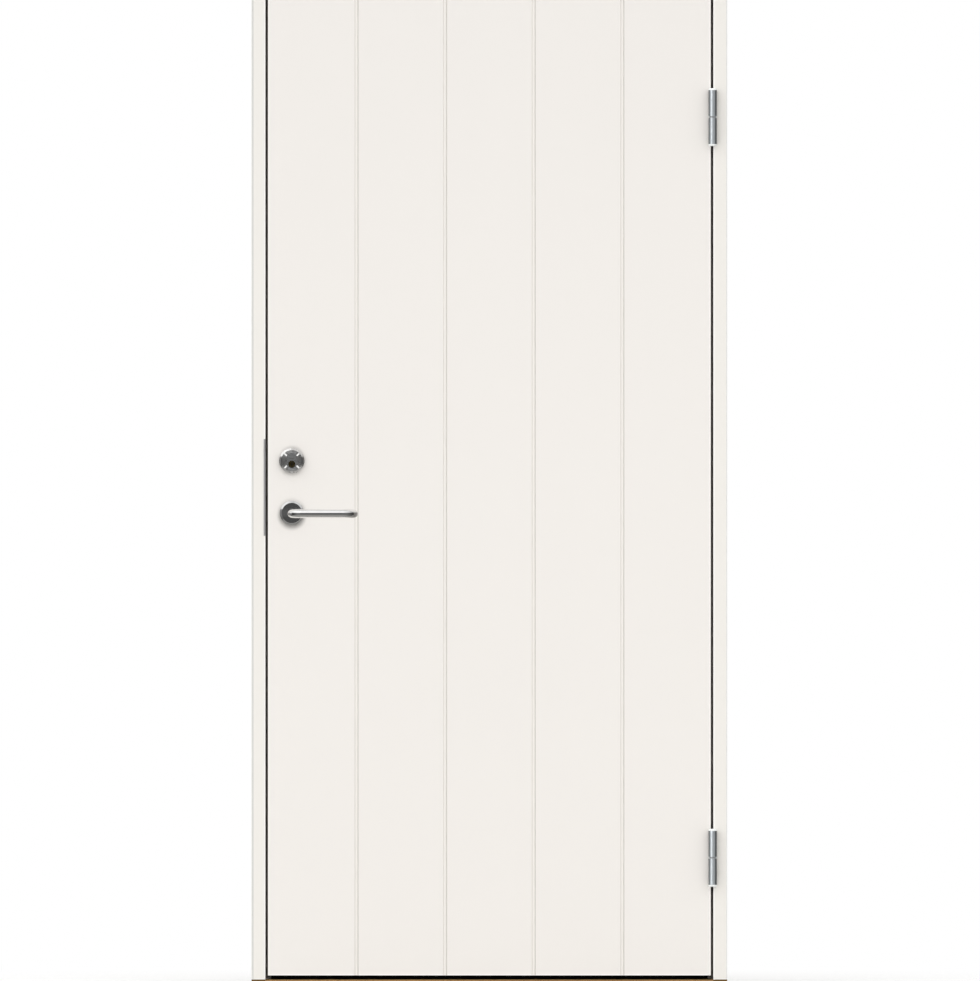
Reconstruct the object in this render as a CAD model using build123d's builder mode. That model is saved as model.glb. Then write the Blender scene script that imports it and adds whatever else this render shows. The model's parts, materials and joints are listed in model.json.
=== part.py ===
from build123d import *
import os
from math import atan2, degrees, radians, tan

# Exterior door in its frame, in millimetres. X runs to the right as seen from outside, Y runs into
# the building and Z runs up. The origin is the middle of the sill's underside.

# Frame: its overall size, the strip that shows beside the leaf, and the stop behind the leaf
FRAME_WIDTH = 990.0
FRAME_HEIGHT = 2090.0
FRAME_DEPTH = 105.0
FACE_WIDTH = 29.0
STOP_STEP = 16.5
FRAME_ARRIS = 2.0

# Oak sill: a flat board under the jambs, a rising stop behind the leaf and an eased front edge
SILL_THICKNESS = 12.0
SILL_STOP_RISE = 25.0
SILL_STOP_ARRIS = 3.0
NOSE_DROP = 1.5
NOSE_DEPTH = 6.0

# Leaf: two grooved panels over stiles, rails and a core
LEAF_THICKNESS = 62.0
PANEL_THICKNESS = 6.0
LEAF_ARRIS = 1.5
EDGE_GAP = 5.0
SILL_GAP = 8.5
STOP_GAP = 5.0
LOCK_BEVEL = 3.0
LOCK_STILE_WIDTH = 110.0
HINGE_STILE_WIDTH = 60.0
TOP_RAIL_HEIGHT = 90.0
BOTTOM_RAIL_HEIGHT = 120.0
BOARD_COUNT = 5
GROOVE_MOUTH = 8.0
GROOVE_FLOOR = 5.0
GROOVE_DEPTH = 3.0

# Seals in the corner of the rebate and on the sill's stop, just clear of the closed leaf
SEAL_WIDTH = 11.0
SEAL_INSET = 0.5
SEAL_CLEARANCE = 0.3
SEAL_ROUND = 2.0
SIDE_SEAL_RISE = 4.0
SILL_SEAL_DROP = 3.0

# Lift-off hinges: a barrel in two halves, and a plate let into the leaf and the jamb
HINGE_LENGTH = 119.0
BARREL_RADIUS = 8.8
BARREL_STANDOFF = 1.0
BARREL_SHIFT = 1.3
BARREL_CHAMFER = 1.6
BARREL_SPLIT = 0.4
HINGE_PLATE_DEPTH = 30.0
HINGE_PLATE_THICKNESS = 3.0
HINGE_PLATE_CORNER = 8.0
PIN_RADIUS = 5.0
PIN_LENGTH = 40.0
PIN_FIT = 0.06
PIN_END_ROOM = 2.0
UPPER_HINGE_DROP = 249.5
LOWER_HINGE_RISE = 245.0

# Lock: where its axes are, its case, its edge plate, its bolts and the plate on the jamb
BACKSET = 50.0
LEVER_HEIGHT = 983.0
CYLINDER_RISE = 108.5
LOCK_PLATE_RISE = 53.0
LOCK_PLATE_HEIGHT = 235.0
LOCK_PLATE_WIDTH = 24.0
LOCK_PLATE_THICKNESS = 3.0
LOCK_PLATE_CORNER = 8.0
CASE_HEIGHT = 195.0
CASE_DEPTH = 78.0
CASE_THICKNESS = 15.0
BOLT_THICKNESS = 11.0
BOLT_LENGTH = 20.0
LATCH_HEIGHT = 32.0
LATCH_RISE = 53.0
DEAD_BOLT_HEIGHT = 36.0
DEAD_BOLT_RISE = 108.5
STRIKE_HEIGHT = 201.0
STRIKE_DEPTH = 46.0
STRIKE_THICKNESS = 2.5
STRIKE_LIP = 3.8
BOLT_POCKET_DEPTH = 20.0
BOLT_ROOM = 3.0
MORTISE_FIT = 0.2

# Handle set: rosettes, bent levers and their square spindle
ROSETTE_RADIUS = 25.0
ROSETTE_HEIGHT = 9.0
ROSETTE_BEVEL = 4.0
ROSETTE_BEVEL_FALL = 3.0
NECK_RADIUS = 9.6
NECK_LENGTH = 22.0
NECK_FIT = 0.06
NECK_STANDOFF = 0.5
BAR_RADIUS = 9.2
BAR_OFFSET = 50.0
BEND_RADIUS = 20.0
LEVER_REACH = 128.3
TIP_OFFSET = 20.0
TIP_CHAMFER = 2.0
SPINDLE_SIDE = 8.0
SPINDLE_GRIP = 14.0
SPINDLE_HOLE_RADIUS = 6.5

# Lock cylinder: a ring with four short slots, an oval body and a turning plug with a keyhole
RING_RADIUS = 26.2
RING_HEIGHT = 12.0
RING_BEVEL = 4.0
RING_BEVEL_FALL = 4.0
RING_SLOT_COUNT = 4
RING_SLOT_CENTRE = 18.0
RING_SLOT_LENGTH = 7.5
RING_SLOT_WIDTH = 3.2
RING_SLOT_DEPTH = 1.0
OVAL_HEIGHT = 31.0
OVAL_WIDTH = 20.0
OVAL_PROUD = 0.6
PLUG_RADIUS = 6.4
PLUG_DROP = 7.0
PLUG_PROUD = 0.6
PLUG_END_ROOM = 1.0
PLUG_FIT = 0.06
KEYHOLE_HEIGHT = 9.0
KEYHOLE_WIDTH = 2.6
KEYHOLE_DEPTH = 14.0

# Thumb turn on the inside
TURN_HEIGHT = 36.0
TURN_WIDTH = 13.0
TURN_DEPTH = 20.0
TURN_CHAMFER = 2.5

# Holes for the screws that hold the frame in the wall, four in each jamb
SCREW_HOLE_RADIUS = 7.0
SCREW_OUTER_SPACING = 1800.0
SCREW_INNER_SPACING = 800.0

# Planes and places worked out from the sizes above
HALF_WIDTH = FRAME_WIDTH / 2
FRONT = -FRAME_DEPTH / 2
BACK = FRAME_DEPTH / 2
REVEAL = HALF_WIDTH - FACE_WIDTH
STOP_EDGE = REVEAL - STOP_STEP
LEAF_EDGE = REVEAL - EDGE_GAP
LEAF_BACK = FRONT + LEAF_THICKNESS
STOP_FACE = LEAF_BACK + STOP_GAP
CORE_FRONT = FRONT + PANEL_THICKNESS
CORE_BACK = LEAF_BACK - PANEL_THICKNESS
LEAF_BOTTOM = SILL_THICKNESS + SILL_GAP
LEAF_TOP = FRAME_HEIGHT - FACE_WIDTH - EDGE_GAP
LEAF_HEIGHT = LEAF_TOP - LEAF_BOTTOM
SILL_STOP_TOP = SILL_THICKNESS + SILL_STOP_RISE
HEAD_STOP_BOTTOM = FRAME_HEIGHT - FACE_WIDTH - STOP_STEP
LOCK_STILE_EDGE = -LEAF_EDGE + LOCK_STILE_WIDTH
HINGE_STILE_EDGE = LEAF_EDGE - HINGE_STILE_WIDTH
BOARD_WIDTH = 2 * LEAF_EDGE / BOARD_COUNT
GROOVES = [-LEAF_EDGE + BOARD_WIDTH * (i + 1) for i in range(BOARD_COUNT - 1)]
GROOVE_ANGLE = degrees(atan2(GROOVE_DEPTH, (GROOVE_MOUTH - GROOVE_FLOOR) / 2))
HINGE_X = (LEAF_EDGE + REVEAL) / 2 + BARREL_SHIFT
HINGE_Y = FRONT - BARREL_RADIUS - BARREL_STANDOFF
UPPER_JOINT = LEAF_TOP - UPPER_HINGE_DROP
LOWER_JOINT = LEAF_BOTTOM + LOWER_HINGE_RISE
LOCK_X = -LEAF_EDGE + BACKSET
CYLINDER_Z = LEVER_HEIGHT + CYLINDER_RISE
PLUG_Z = CYLINDER_Z - PLUG_DROP
LOCK_MIDDLE = LEVER_HEIGHT + LOCK_PLATE_RISE
LATCH_Z = LEVER_HEIGHT + LATCH_RISE
DEAD_BOLT_Z = LEVER_HEIGHT + DEAD_BOLT_RISE
LEAF_MIDDLE = (FRONT + LEAF_BACK) / 2
CASE_FRONT = LEAF_MIDDLE - CASE_THICKNESS / 2
SCREW_Y = (FRONT + STOP_FACE) / 2
SCREW_HEIGHTS = [
    FRAME_HEIGHT / 2 + spacing / 2 * end
    for spacing in (SCREW_OUTER_SPACING, SCREW_INNER_SPACING)
    for end in (-1, 1)
]

os.makedirs("parts", exist_ok=True)


def save(piece, node):
    """Labels a finished piece and writes it as its own file."""
    piece.part.label = node
    export_step(piece.part, f"parts/{node}.step")


def outline(*points):
    """Adds a straight-sided face to the sketch that is open, with its corners where they are given."""
    Polygon(*points, align=None)


def block(low, high):
    """A plain board between two corners."""
    with BuildPart() as board:
        with Locations(low):
            Box(*[b - a for a, b in zip(low, high)], align=(Align.MIN, Align.MIN, Align.MIN))
    return board


def cut_from(blank, cuts):
    """A blank with other shapes taken out of it."""
    with BuildPart() as piece:
        add(blank.part)
        for cut in cuts:
            add(cut.part, mode=Mode.SUBTRACT)
    return piece


def lock_edge(y, inset=0.0):
    """X of the leaf's bevelled lock edge at a depth, or of a plane let in behind it."""
    return -LEAF_EDGE + inset + (y - FRONT) * tan(radians(LOCK_BEVEL))


def edge_block(width, height, centre_z, inset, depth):
    """A block that follows the bevelled lock edge, centred on the leaf's thickness."""
    near = LEAF_MIDDLE - width / 2
    far = LEAF_MIDDLE + width / 2
    with BuildPart() as piece:
        with BuildSketch(Plane.XY.offset(centre_z - height / 2)):
            outline(
                (lock_edge(near, inset), near),
                (lock_edge(near, inset + depth), near),
                (lock_edge(far, inset + depth), far),
                (lock_edge(far, inset), far),
            )
        extrude(amount=height)
    return piece


# Cutting shapes that two or more pieces share
def hinge_plate(face_x, inward, joint, grow=0.0):
    """A hinge plate let in flush at face_x, or its mortise when grown."""
    with BuildPart() as plate:
        with BuildSketch(Plane.YZ.offset(face_x)) as sheet:
            with Locations((FRONT, joint)):
                Rectangle(
                    HINGE_PLATE_DEPTH + grow,
                    HINGE_LENGTH + 2 * grow,
                    align=(Align.MIN, Align.CENTER),
                )
            fillet(sheet.vertices().group_by(Axis.X)[-1], HINGE_PLATE_CORNER)
        extrude(amount=inward * HINGE_PLATE_THICKNESS)
    return plate


def oval(height, width, front, back):
    """An upright oval bar on the cylinder's axis, from one depth to another."""
    with BuildPart() as bar:
        with BuildSketch(Plane.XZ.offset(-front)):
            with Locations((LOCK_X, CYLINDER_Z)):
                SlotOverall(height, width, rotation=90)
        extrude(amount=front - back)
    return bar


def rod(radius, z, front, back):
    """A round bar through the leaf on the lock's line, from one depth to another."""
    with BuildPart() as bar:
        with BuildSketch(Plane.XZ.offset(-front)):
            with Locations((LOCK_X, z)):
                Circle(radius)
        extrude(amount=front - back)
    return bar


joints = (UPPER_JOINT, LOWER_JOINT)
jamb_mortises = [hinge_plate(REVEAL, 1, joint, MORTISE_FIT) for joint in joints]
leaf_mortises = [hinge_plate(LEAF_EDGE, -1, joint, MORTISE_FIT) for joint in joints]
spindle_hole = rod(SPINDLE_HOLE_RADIUS, LEVER_HEIGHT, FRONT, LEAF_BACK)
oval_hole = oval(OVAL_HEIGHT + 2 * MORTISE_FIT, OVAL_WIDTH + 2 * MORTISE_FIT, FRONT, CASE_FRONT)
bolts = {
    "latch_bolt": (LATCH_HEIGHT, LATCH_Z),
    "dead_bolt": (DEAD_BOLT_HEIGHT, DEAD_BOLT_Z),
}
bolt_holes = [
    edge_block(
        BOLT_THICKNESS + 2 * MORTISE_FIT,
        height + 2 * MORTISE_FIT,
        z,
        -BOLT_ROOM,
        BOLT_ROOM + BOLT_LENGTH + MORTISE_FIT,
    )
    for height, z in bolts.values()
]
case_pocket = edge_block(
    CASE_THICKNESS,
    CASE_HEIGHT + 2 * MORTISE_FIT,
    LOCK_MIDDLE,
    LOCK_PLATE_THICKNESS,
    CASE_DEPTH + MORTISE_FIT,
)
plate_pocket = edge_block(
    LOCK_PLATE_WIDTH + 2 * MORTISE_FIT,
    LOCK_PLATE_HEIGHT + 2 * MORTISE_FIT,
    LOCK_MIDDLE,
    -BOLT_ROOM,
    BOLT_ROOM + LOCK_PLATE_THICKNESS,
)
strike_pockets = [
    block(
        (
            -REVEAL - BOLT_POCKET_DEPTH,
            LEAF_MIDDLE - BOLT_THICKNESS / 2 - BOLT_ROOM,
            z - height / 2 - BOLT_ROOM,
        ),
        (
            -REVEAL + BOLT_ROOM,
            LEAF_MIDDLE + BOLT_THICKNESS / 2 + BOLT_ROOM,
            z + height / 2 + BOLT_ROOM,
        ),
    )
    for height, z in bolts.values()
]


def strike_blank(grow=0.0):
    """The angle-section strike plate, or its mortise when grown at its ends and back edge."""
    with BuildPart() as plate:
        with BuildSketch(Plane.XY.offset(LOCK_MIDDLE - STRIKE_HEIGHT / 2 - grow)):
            outline(
                (-REVEAL, FRONT),
                (-REVEAL, FRONT + STRIKE_DEPTH + grow),
                (-REVEAL - STRIKE_THICKNESS, FRONT + STRIKE_DEPTH + grow),
                (-REVEAL - STRIKE_THICKNESS, FRONT + STRIKE_THICKNESS),
                (-REVEAL - STRIKE_LIP, FRONT + STRIKE_THICKNESS),
                (-REVEAL - STRIKE_LIP, FRONT),
            )
        extrude(amount=STRIKE_HEIGHT + 2 * grow)
    return plate


# Frame
def jamb(side, cuts):
    """A rebated jamb that stands on the sill; side is -1 at the lock and 1 at the hinges."""
    with BuildPart() as post:
        with BuildSketch(Plane.XY.offset(SILL_THICKNESS)) as section:
            outline(
                (side * REVEAL, FRONT),
                (side * HALF_WIDTH, FRONT),
                (side * HALF_WIDTH, BACK),
                (side * STOP_EDGE, BACK),
                (side * STOP_EDGE, STOP_FACE),
                (side * REVEAL, STOP_FACE),
            )
            fillet(section.vertices().group_by(Axis.Y)[0], FRAME_ARRIS)
        extrude(amount=FRAME_HEIGHT - SILL_THICKNESS)
        with Locations(*[(side * (REVEAL + FACE_WIDTH / 2), SCREW_Y, z) for z in SCREW_HEIGHTS]):
            Cylinder(SCREW_HOLE_RADIUS, 2 * FACE_WIDTH, rotation=(0, 90, 0), mode=Mode.SUBTRACT)
        for cut in cuts:
            add(cut.part, mode=Mode.SUBTRACT)
    return post


strike_mortise = strike_blank(MORTISE_FIT)
lock_jamb = jamb(-1, [strike_mortise, *strike_pockets])
save(lock_jamb, "lock_jamb")
hinge_jamb = jamb(1, jamb_mortises)
save(hinge_jamb, "hinge_jamb")

with BuildPart() as head_jamb:
    with BuildSketch(Plane.YZ.offset(-REVEAL)) as head_front:
        outline(
            (FRONT, FRAME_HEIGHT - FACE_WIDTH),
            (STOP_FACE, FRAME_HEIGHT - FACE_WIDTH),
            (STOP_FACE, FRAME_HEIGHT),
            (FRONT, FRAME_HEIGHT),
        )
        fillet(head_front.vertices().group_by(Axis.X)[0], FRAME_ARRIS)
    extrude(amount=2 * REVEAL)
    with BuildSketch(Plane.YZ.offset(-STOP_EDGE)):
        outline(
            (STOP_FACE, HEAD_STOP_BOTTOM),
            (BACK, HEAD_STOP_BOTTOM),
            (BACK, FRAME_HEIGHT),
            (STOP_FACE, FRAME_HEIGHT),
        )
    extrude(amount=2 * STOP_EDGE)
save(head_jamb, "head_jamb")

with BuildPart() as threshold:
    with BuildSketch(Plane.XY):
        outline((-HALF_WIDTH, FRONT), (HALF_WIDTH, FRONT), (HALF_WIDTH, BACK), (-HALF_WIDTH, BACK))
    extrude(amount=SILL_THICKNESS)
    with BuildSketch(Plane.YZ.offset(-STOP_EDGE)) as rise:
        outline(
            (STOP_FACE, SILL_THICKNESS),
            (BACK, SILL_THICKNESS),
            (BACK, SILL_STOP_TOP),
            (STOP_FACE, SILL_STOP_TOP),
        )
        fillet(rise.vertices().group_by(Axis.Y)[-1], SILL_STOP_ARRIS)
    extrude(amount=2 * STOP_EDGE)
    with BuildSketch(Plane.YZ.offset(-REVEAL)):
        outline(
            (FRONT, SILL_THICKNESS),
            (FRONT, SILL_THICKNESS - NOSE_DROP),
            (FRONT + NOSE_DEPTH, SILL_THICKNESS),
        )
    extrude(amount=2 * REVEAL, mode=Mode.SUBTRACT)
save(threshold, "threshold")


# Seals
SEAL_FRONT = LEAF_BACK + SEAL_CLEARANCE
SEAL_FAR = REVEAL - SEAL_INSET
SEAL_NEAR = SEAL_FAR - SEAL_WIDTH
SEAL_BOTTOM = SILL_THICKNESS + SIDE_SEAL_RISE
SEAL_TOP = FRAME_HEIGHT - FACE_WIDTH - SEAL_INSET


def side_seal(side):
    """An upright seal on a jamb's stop."""
    near = side * SEAL_NEAR
    far = side * SEAL_FAR
    with BuildPart() as strip:
        with BuildSketch(Plane.XY.offset(SEAL_BOTTOM)) as section:
            outline((near, STOP_FACE), (far, STOP_FACE), (far, SEAL_FRONT), (near, SEAL_FRONT))
            fillet(section.vertices().group_by(Axis.Y)[0], SEAL_ROUND)
        extrude(amount=SEAL_TOP - SEAL_BOTTOM)
    return strip


def cross_seal(bottom, top):
    """A level seal between the upright ones, on the head's stop or the sill's."""
    with BuildPart() as strip:
        with BuildSketch(Plane.YZ.offset(-SEAL_NEAR)) as section:
            outline((STOP_FACE, bottom), (STOP_FACE, top), (SEAL_FRONT, top), (SEAL_FRONT, bottom))
            fillet(section.vertices().group_by(Axis.X)[0], SEAL_ROUND)
        extrude(amount=2 * SEAL_NEAR)
    return strip


save(side_seal(-1), "lock_side_seal")
save(side_seal(1), "hinge_side_seal")
save(cross_seal(SEAL_TOP - SEAL_WIDTH, SEAL_TOP), "head_seal")
save(cross_seal(SILL_THICKNESS, SILL_STOP_TOP - SILL_SEAL_DROP), "threshold_seal")

save(cut_from(strike_blank(), strike_pockets), "strike_plate")


# Hinges
def hinge_half(joint, face_x, inward, up):
    """One half of a lift-off hinge: its barrel is above the joint on the leaf, below it on the frame."""
    half_length = HINGE_LENGTH / 2
    start = joint + up * BARREL_SPLIT / 2
    grow_up = Align.MIN if up > 0 else Align.MAX
    plate = hinge_plate(face_x, inward, joint)
    with BuildPart() as half:
        with Locations((HINGE_X, HINGE_Y, start)):
            Cylinder(
                BARREL_RADIUS,
                half_length - BARREL_SPLIT / 2,
                align=(Align.CENTER, Align.CENTER, grow_up),
            )
        chamfer(half.edges().filter_by(GeomType.CIRCLE), BARREL_CHAMFER)
        with BuildSketch(Plane.YZ.offset(face_x)):
            with Locations((HINGE_Y, joint + up * BARREL_CHAMFER)):
                Rectangle(
                    FRONT - HINGE_Y,
                    half_length - 2 * BARREL_CHAMFER,
                    align=(Align.MIN, grow_up),
                )
        extrude(amount=inward * HINGE_PLATE_THICKNESS)
        add(plate.part)
        if up > 0:
            with Locations((HINGE_X, HINGE_Y, start)):
                Cylinder(
                    PIN_RADIUS + PIN_FIT,
                    PIN_LENGTH + PIN_END_ROOM,
                    align=(Align.CENTER, Align.CENTER, Align.MIN),
                    mode=Mode.SUBTRACT,
                )
        else:
            with Locations((HINGE_X, HINGE_Y, start - half_length / 2)):
                Cylinder(
                    PIN_RADIUS,
                    PIN_LENGTH + half_length / 2,
                    align=(Align.CENTER, Align.CENTER, Align.MIN),
                )
    return half


for name, joint in zip(("upper", "lower"), joints):
    save(hinge_half(joint, REVEAL, 1, -1), f"{name}_hinge_frame_half")
    save(hinge_half(joint, LEAF_EDGE, -1, 1), f"{name}_hinge_leaf_half")


# Leaf
def leaf_panel(skin, outward, cuts):
    """A panel with upright grooves in its showing face; outward is -1 outside and 1 inside."""
    back = skin - outward * PANEL_THICKNESS
    with BuildPart() as panel:
        with BuildSketch(Plane.XY.offset(LEAF_BOTTOM)) as section:
            outline(
                (lock_edge(skin), skin),
                (LEAF_EDGE, skin),
                (LEAF_EDGE, back),
                (lock_edge(back), back),
            )
            fillet(section.vertices().group_by(Axis.Y)[0 if outward < 0 else -1], LEAF_ARRIS)
            with Locations(*[(x, skin) for x in GROOVES]):
                Trapezoid(
                    GROOVE_MOUTH,
                    GROOVE_DEPTH,
                    GROOVE_ANGLE,
                    rotation=0 if outward < 0 else 180,
                    align=(Align.CENTER, Align.MIN),
                    mode=Mode.SUBTRACT,
                )
        extrude(amount=LEAF_HEIGHT)
        for cut in cuts:
            add(cut.part, mode=Mode.SUBTRACT)
    return panel


save(leaf_panel(FRONT, -1, [*leaf_mortises, spindle_hole, oval_hole]), "outer_panel")
save(leaf_panel(LEAF_BACK, 1, [spindle_hole]), "inner_panel")

with BuildPart() as lock_stile:
    with BuildSketch(Plane.XY.offset(LEAF_BOTTOM)):
        outline(
            (lock_edge(CORE_FRONT), CORE_FRONT),
            (LOCK_STILE_EDGE, CORE_FRONT),
            (LOCK_STILE_EDGE, CORE_BACK),
            (lock_edge(CORE_BACK), CORE_BACK),
        )
    extrude(amount=LEAF_HEIGHT)
    for cut in (case_pocket, plate_pocket, spindle_hole, oval_hole):
        add(cut.part, mode=Mode.SUBTRACT)
save(lock_stile, "lock_stile")

hinge_timber = block((HINGE_STILE_EDGE, CORE_FRONT, LEAF_BOTTOM), (LEAF_EDGE, CORE_BACK, LEAF_TOP))
save(cut_from(hinge_timber, leaf_mortises), "hinge_stile")

core_bottom = LEAF_BOTTOM + BOTTOM_RAIL_HEIGHT
core_top = LEAF_TOP - TOP_RAIL_HEIGHT
fillings = {
    "bottom_rail": (LEAF_BOTTOM, core_bottom),
    "insulation_core": (core_bottom, core_top),
    "top_rail": (core_top, LEAF_TOP),
}
for node, (bottom, top) in fillings.items():
    filling = block((LOCK_STILE_EDGE, CORE_FRONT, bottom), (HINGE_STILE_EDGE, CORE_BACK, top))
    save(filling, node)


# Lock
case_blank = edge_block(CASE_THICKNESS, CASE_HEIGHT, LOCK_MIDDLE, LOCK_PLATE_THICKNESS, CASE_DEPTH)
save(cut_from(case_blank, [spindle_hole, *bolt_holes]), "lock_case")

plate_blank = edge_block(LOCK_PLATE_WIDTH, LOCK_PLATE_HEIGHT, LOCK_MIDDLE, 0, LOCK_PLATE_THICKNESS)
with BuildPart() as lock_edge_plate:
    add(plate_blank.part)
    fillet(lock_edge_plate.edges().filter_by(Axis.X), LOCK_PLATE_CORNER)
    for cut in bolt_holes:
        add(cut.part, mode=Mode.SUBTRACT)
save(lock_edge_plate, "lock_edge_plate")

for node, (height, z) in bolts.items():
    save(edge_block(BOLT_THICKNESS, height, z, 0, BOLT_LENGTH), node)


# Rosettes, levers and spindle
def rosette(skin, outward, z, radius, height, bevel, bevel_fall):
    """A round cover on one side of the leaf, with a bevelled rim."""
    with BuildPart() as cover:
        with BuildSketch(Plane.XZ.offset(-skin)):
            with Locations((LOCK_X, z)):
                Circle(radius)
        extrude(amount=-outward * height)
        top = cover.faces().sort_by(Axis.Y)[0 if outward < 0 else -1]
        chamfer(top.edges(), bevel_fall, bevel, reference=top)
    return cover


def lever(skin, outward):
    """A bent lever: a neck in the rosette, a bar along the leaf and a tip that returns to it."""
    bar_y = skin + outward * BAR_OFFSET
    neck_y = skin + outward * NECK_STANDOFF
    tip_y = skin + outward * TIP_OFFSET
    socket_y = skin + outward * (NECK_STANDOFF + SPINDLE_GRIP)
    with BuildPart() as handle:
        with BuildLine(Plane.XY.offset(LEVER_HEIGHT)) as spine:
            FilletPolyline(
                (LOCK_X, neck_y),
                (LOCK_X, bar_y),
                (LOCK_X + LEVER_REACH, bar_y),
                (LOCK_X + LEVER_REACH, tip_y),
                radius=BEND_RADIUS,
            )
        with BuildSketch(Plane(origin=spine.line @ 0, z_dir=spine.line % 0)):
            Circle(BAR_RADIUS)
        sweep()
        tip = handle.faces().filter_by(GeomType.PLANE).sort_by(Axis.X)[-1]
        chamfer(tip.edges(), TIP_CHAMFER)
        with BuildSketch(Plane.XZ.offset(-neck_y)):
            with Locations((LOCK_X, LEVER_HEIGHT)):
                Circle(NECK_RADIUS)
        extrude(amount=-outward * NECK_LENGTH)
        with BuildSketch(Plane.XZ.offset(-neck_y)):
            with Locations((LOCK_X, LEVER_HEIGHT)):
                Rectangle(SPINDLE_SIDE, SPINDLE_SIDE)
        extrude(amount=neck_y - socket_y, mode=Mode.SUBTRACT)
    return handle


rosette_shape = (ROSETTE_RADIUS, ROSETTE_HEIGHT, ROSETTE_BEVEL, ROSETTE_BEVEL_FALL)
neck_bore = rod(
    NECK_RADIUS + NECK_FIT, LEVER_HEIGHT, FRONT - ROSETTE_HEIGHT, LEAF_BACK + ROSETTE_HEIGHT
)
for side, skin, outward in (("outer", FRONT, -1), ("inner", LEAF_BACK, 1)):
    cover = rosette(skin, outward, LEVER_HEIGHT, *rosette_shape)
    save(cut_from(cover, [neck_bore]), f"{side}_rosette")
    save(lever(skin, outward), f"{side}_lever")

spindle_reach = NECK_STANDOFF + SPINDLE_GRIP
spindle = block(
    (LOCK_X - SPINDLE_SIDE / 2, FRONT - spindle_reach, LEVER_HEIGHT - SPINDLE_SIDE / 2),
    (LOCK_X + SPINDLE_SIDE / 2, LEAF_BACK + spindle_reach, LEVER_HEIGHT + SPINDLE_SIDE / 2),
)
save(spindle, "spindle")


# Lock cylinder
ring_face = FRONT - RING_HEIGHT
oval_face = ring_face - OVAL_PROUD
plug_face = oval_face - PLUG_PROUD
ring_blank = rosette(FRONT, -1, CYLINDER_Z, RING_RADIUS, RING_HEIGHT, RING_BEVEL, RING_BEVEL_FALL)
ring_bore = oval(OVAL_HEIGHT + 2 * MORTISE_FIT, OVAL_WIDTH + 2 * MORTISE_FIT, ring_face, FRONT)
with BuildPart() as cylinder_ring:
    add(ring_blank.part)
    add(ring_bore.part, mode=Mode.SUBTRACT)
    with BuildSketch(Plane.XZ.offset(-ring_face)):
        with Locations((LOCK_X, CYLINDER_Z)):
            with PolarLocations(RING_SLOT_CENTRE, RING_SLOT_COUNT, start_angle=45):
                Rectangle(RING_SLOT_LENGTH, RING_SLOT_WIDTH)
    extrude(amount=-RING_SLOT_DEPTH, mode=Mode.SUBTRACT)
save(cylinder_ring, "cylinder_ring")

oval_blank = oval(OVAL_HEIGHT, OVAL_WIDTH, oval_face, CASE_FRONT)
plug_bore = rod(PLUG_RADIUS + PLUG_FIT, PLUG_Z, oval_face, CASE_FRONT)
save(cut_from(oval_blank, [plug_bore]), "cylinder_body")

plug_blank = rod(PLUG_RADIUS, PLUG_Z, plug_face, CASE_FRONT - PLUG_END_ROOM)
with BuildPart() as key_plug:
    add(plug_blank.part)
    with BuildSketch(Plane.XZ.offset(-plug_face)):
        with Locations((LOCK_X, PLUG_Z)):
            SlotOverall(KEYHOLE_HEIGHT, KEYHOLE_WIDTH, rotation=90)
    extrude(amount=-KEYHOLE_DEPTH, mode=Mode.SUBTRACT)
save(key_plug, "key_plug")


# Thumb turn
save(rosette(LEAF_BACK, 1, CYLINDER_Z, *rosette_shape), "thumb_turn_rosette")

turn_seat = LEAF_BACK + ROSETTE_HEIGHT
turn_blank = oval(TURN_HEIGHT, TURN_WIDTH, turn_seat, turn_seat + TURN_DEPTH)
with BuildPart() as thumb_turn:
    add(turn_blank.part)
    chamfer(thumb_turn.faces().sort_by(Axis.Y)[-1].edges(), TURN_CHAMFER)
save(thumb_turn, "thumb_turn")
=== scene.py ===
"""Looks of an exterior door: finishes, fittings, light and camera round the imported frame."""

import json
import logging
import math
from collections.abc import Iterable
from dataclasses import asdict, dataclass, field
from enum import Enum

import bmesh
import bpy
from mathutils import Matrix, Vector

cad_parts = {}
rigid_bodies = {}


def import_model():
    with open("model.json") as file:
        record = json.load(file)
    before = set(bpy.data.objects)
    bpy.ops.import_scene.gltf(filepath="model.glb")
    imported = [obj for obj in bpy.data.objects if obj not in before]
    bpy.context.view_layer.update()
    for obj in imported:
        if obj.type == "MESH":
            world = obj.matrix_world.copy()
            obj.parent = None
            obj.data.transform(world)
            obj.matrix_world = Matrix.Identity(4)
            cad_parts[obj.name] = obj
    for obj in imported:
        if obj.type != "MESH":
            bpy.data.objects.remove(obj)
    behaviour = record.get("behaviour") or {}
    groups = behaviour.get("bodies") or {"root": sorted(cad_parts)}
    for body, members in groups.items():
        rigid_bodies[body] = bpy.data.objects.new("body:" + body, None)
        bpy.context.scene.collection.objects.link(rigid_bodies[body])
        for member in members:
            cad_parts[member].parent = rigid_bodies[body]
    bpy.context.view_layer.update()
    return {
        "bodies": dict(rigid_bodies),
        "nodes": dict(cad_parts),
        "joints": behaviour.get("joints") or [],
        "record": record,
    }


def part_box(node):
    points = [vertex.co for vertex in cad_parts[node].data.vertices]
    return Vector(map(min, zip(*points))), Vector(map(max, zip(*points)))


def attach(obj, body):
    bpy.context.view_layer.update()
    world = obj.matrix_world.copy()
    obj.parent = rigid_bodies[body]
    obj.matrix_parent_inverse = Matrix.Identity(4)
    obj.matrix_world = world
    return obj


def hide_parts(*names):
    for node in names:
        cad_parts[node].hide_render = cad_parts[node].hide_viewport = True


LOG = logging.getLogger("door")
Colour = tuple[float, float, float]
Point = tuple[float, float]
Loop = list[bmesh.types.BMVert]
Path = list[tuple[Vector, float]]
Socket = bpy.types.NodeSocket
Term = Socket | float | tuple[float, ...]

MM = 0.001
WHITE = (1.0, 1.0, 1.0)


class Body(Enum):
    """The door's moving bodies."""

    FRAME = "frame"
    LEAF = "leaf"
    HANDLE = "handle"
    PLUG = "plug"


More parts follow.
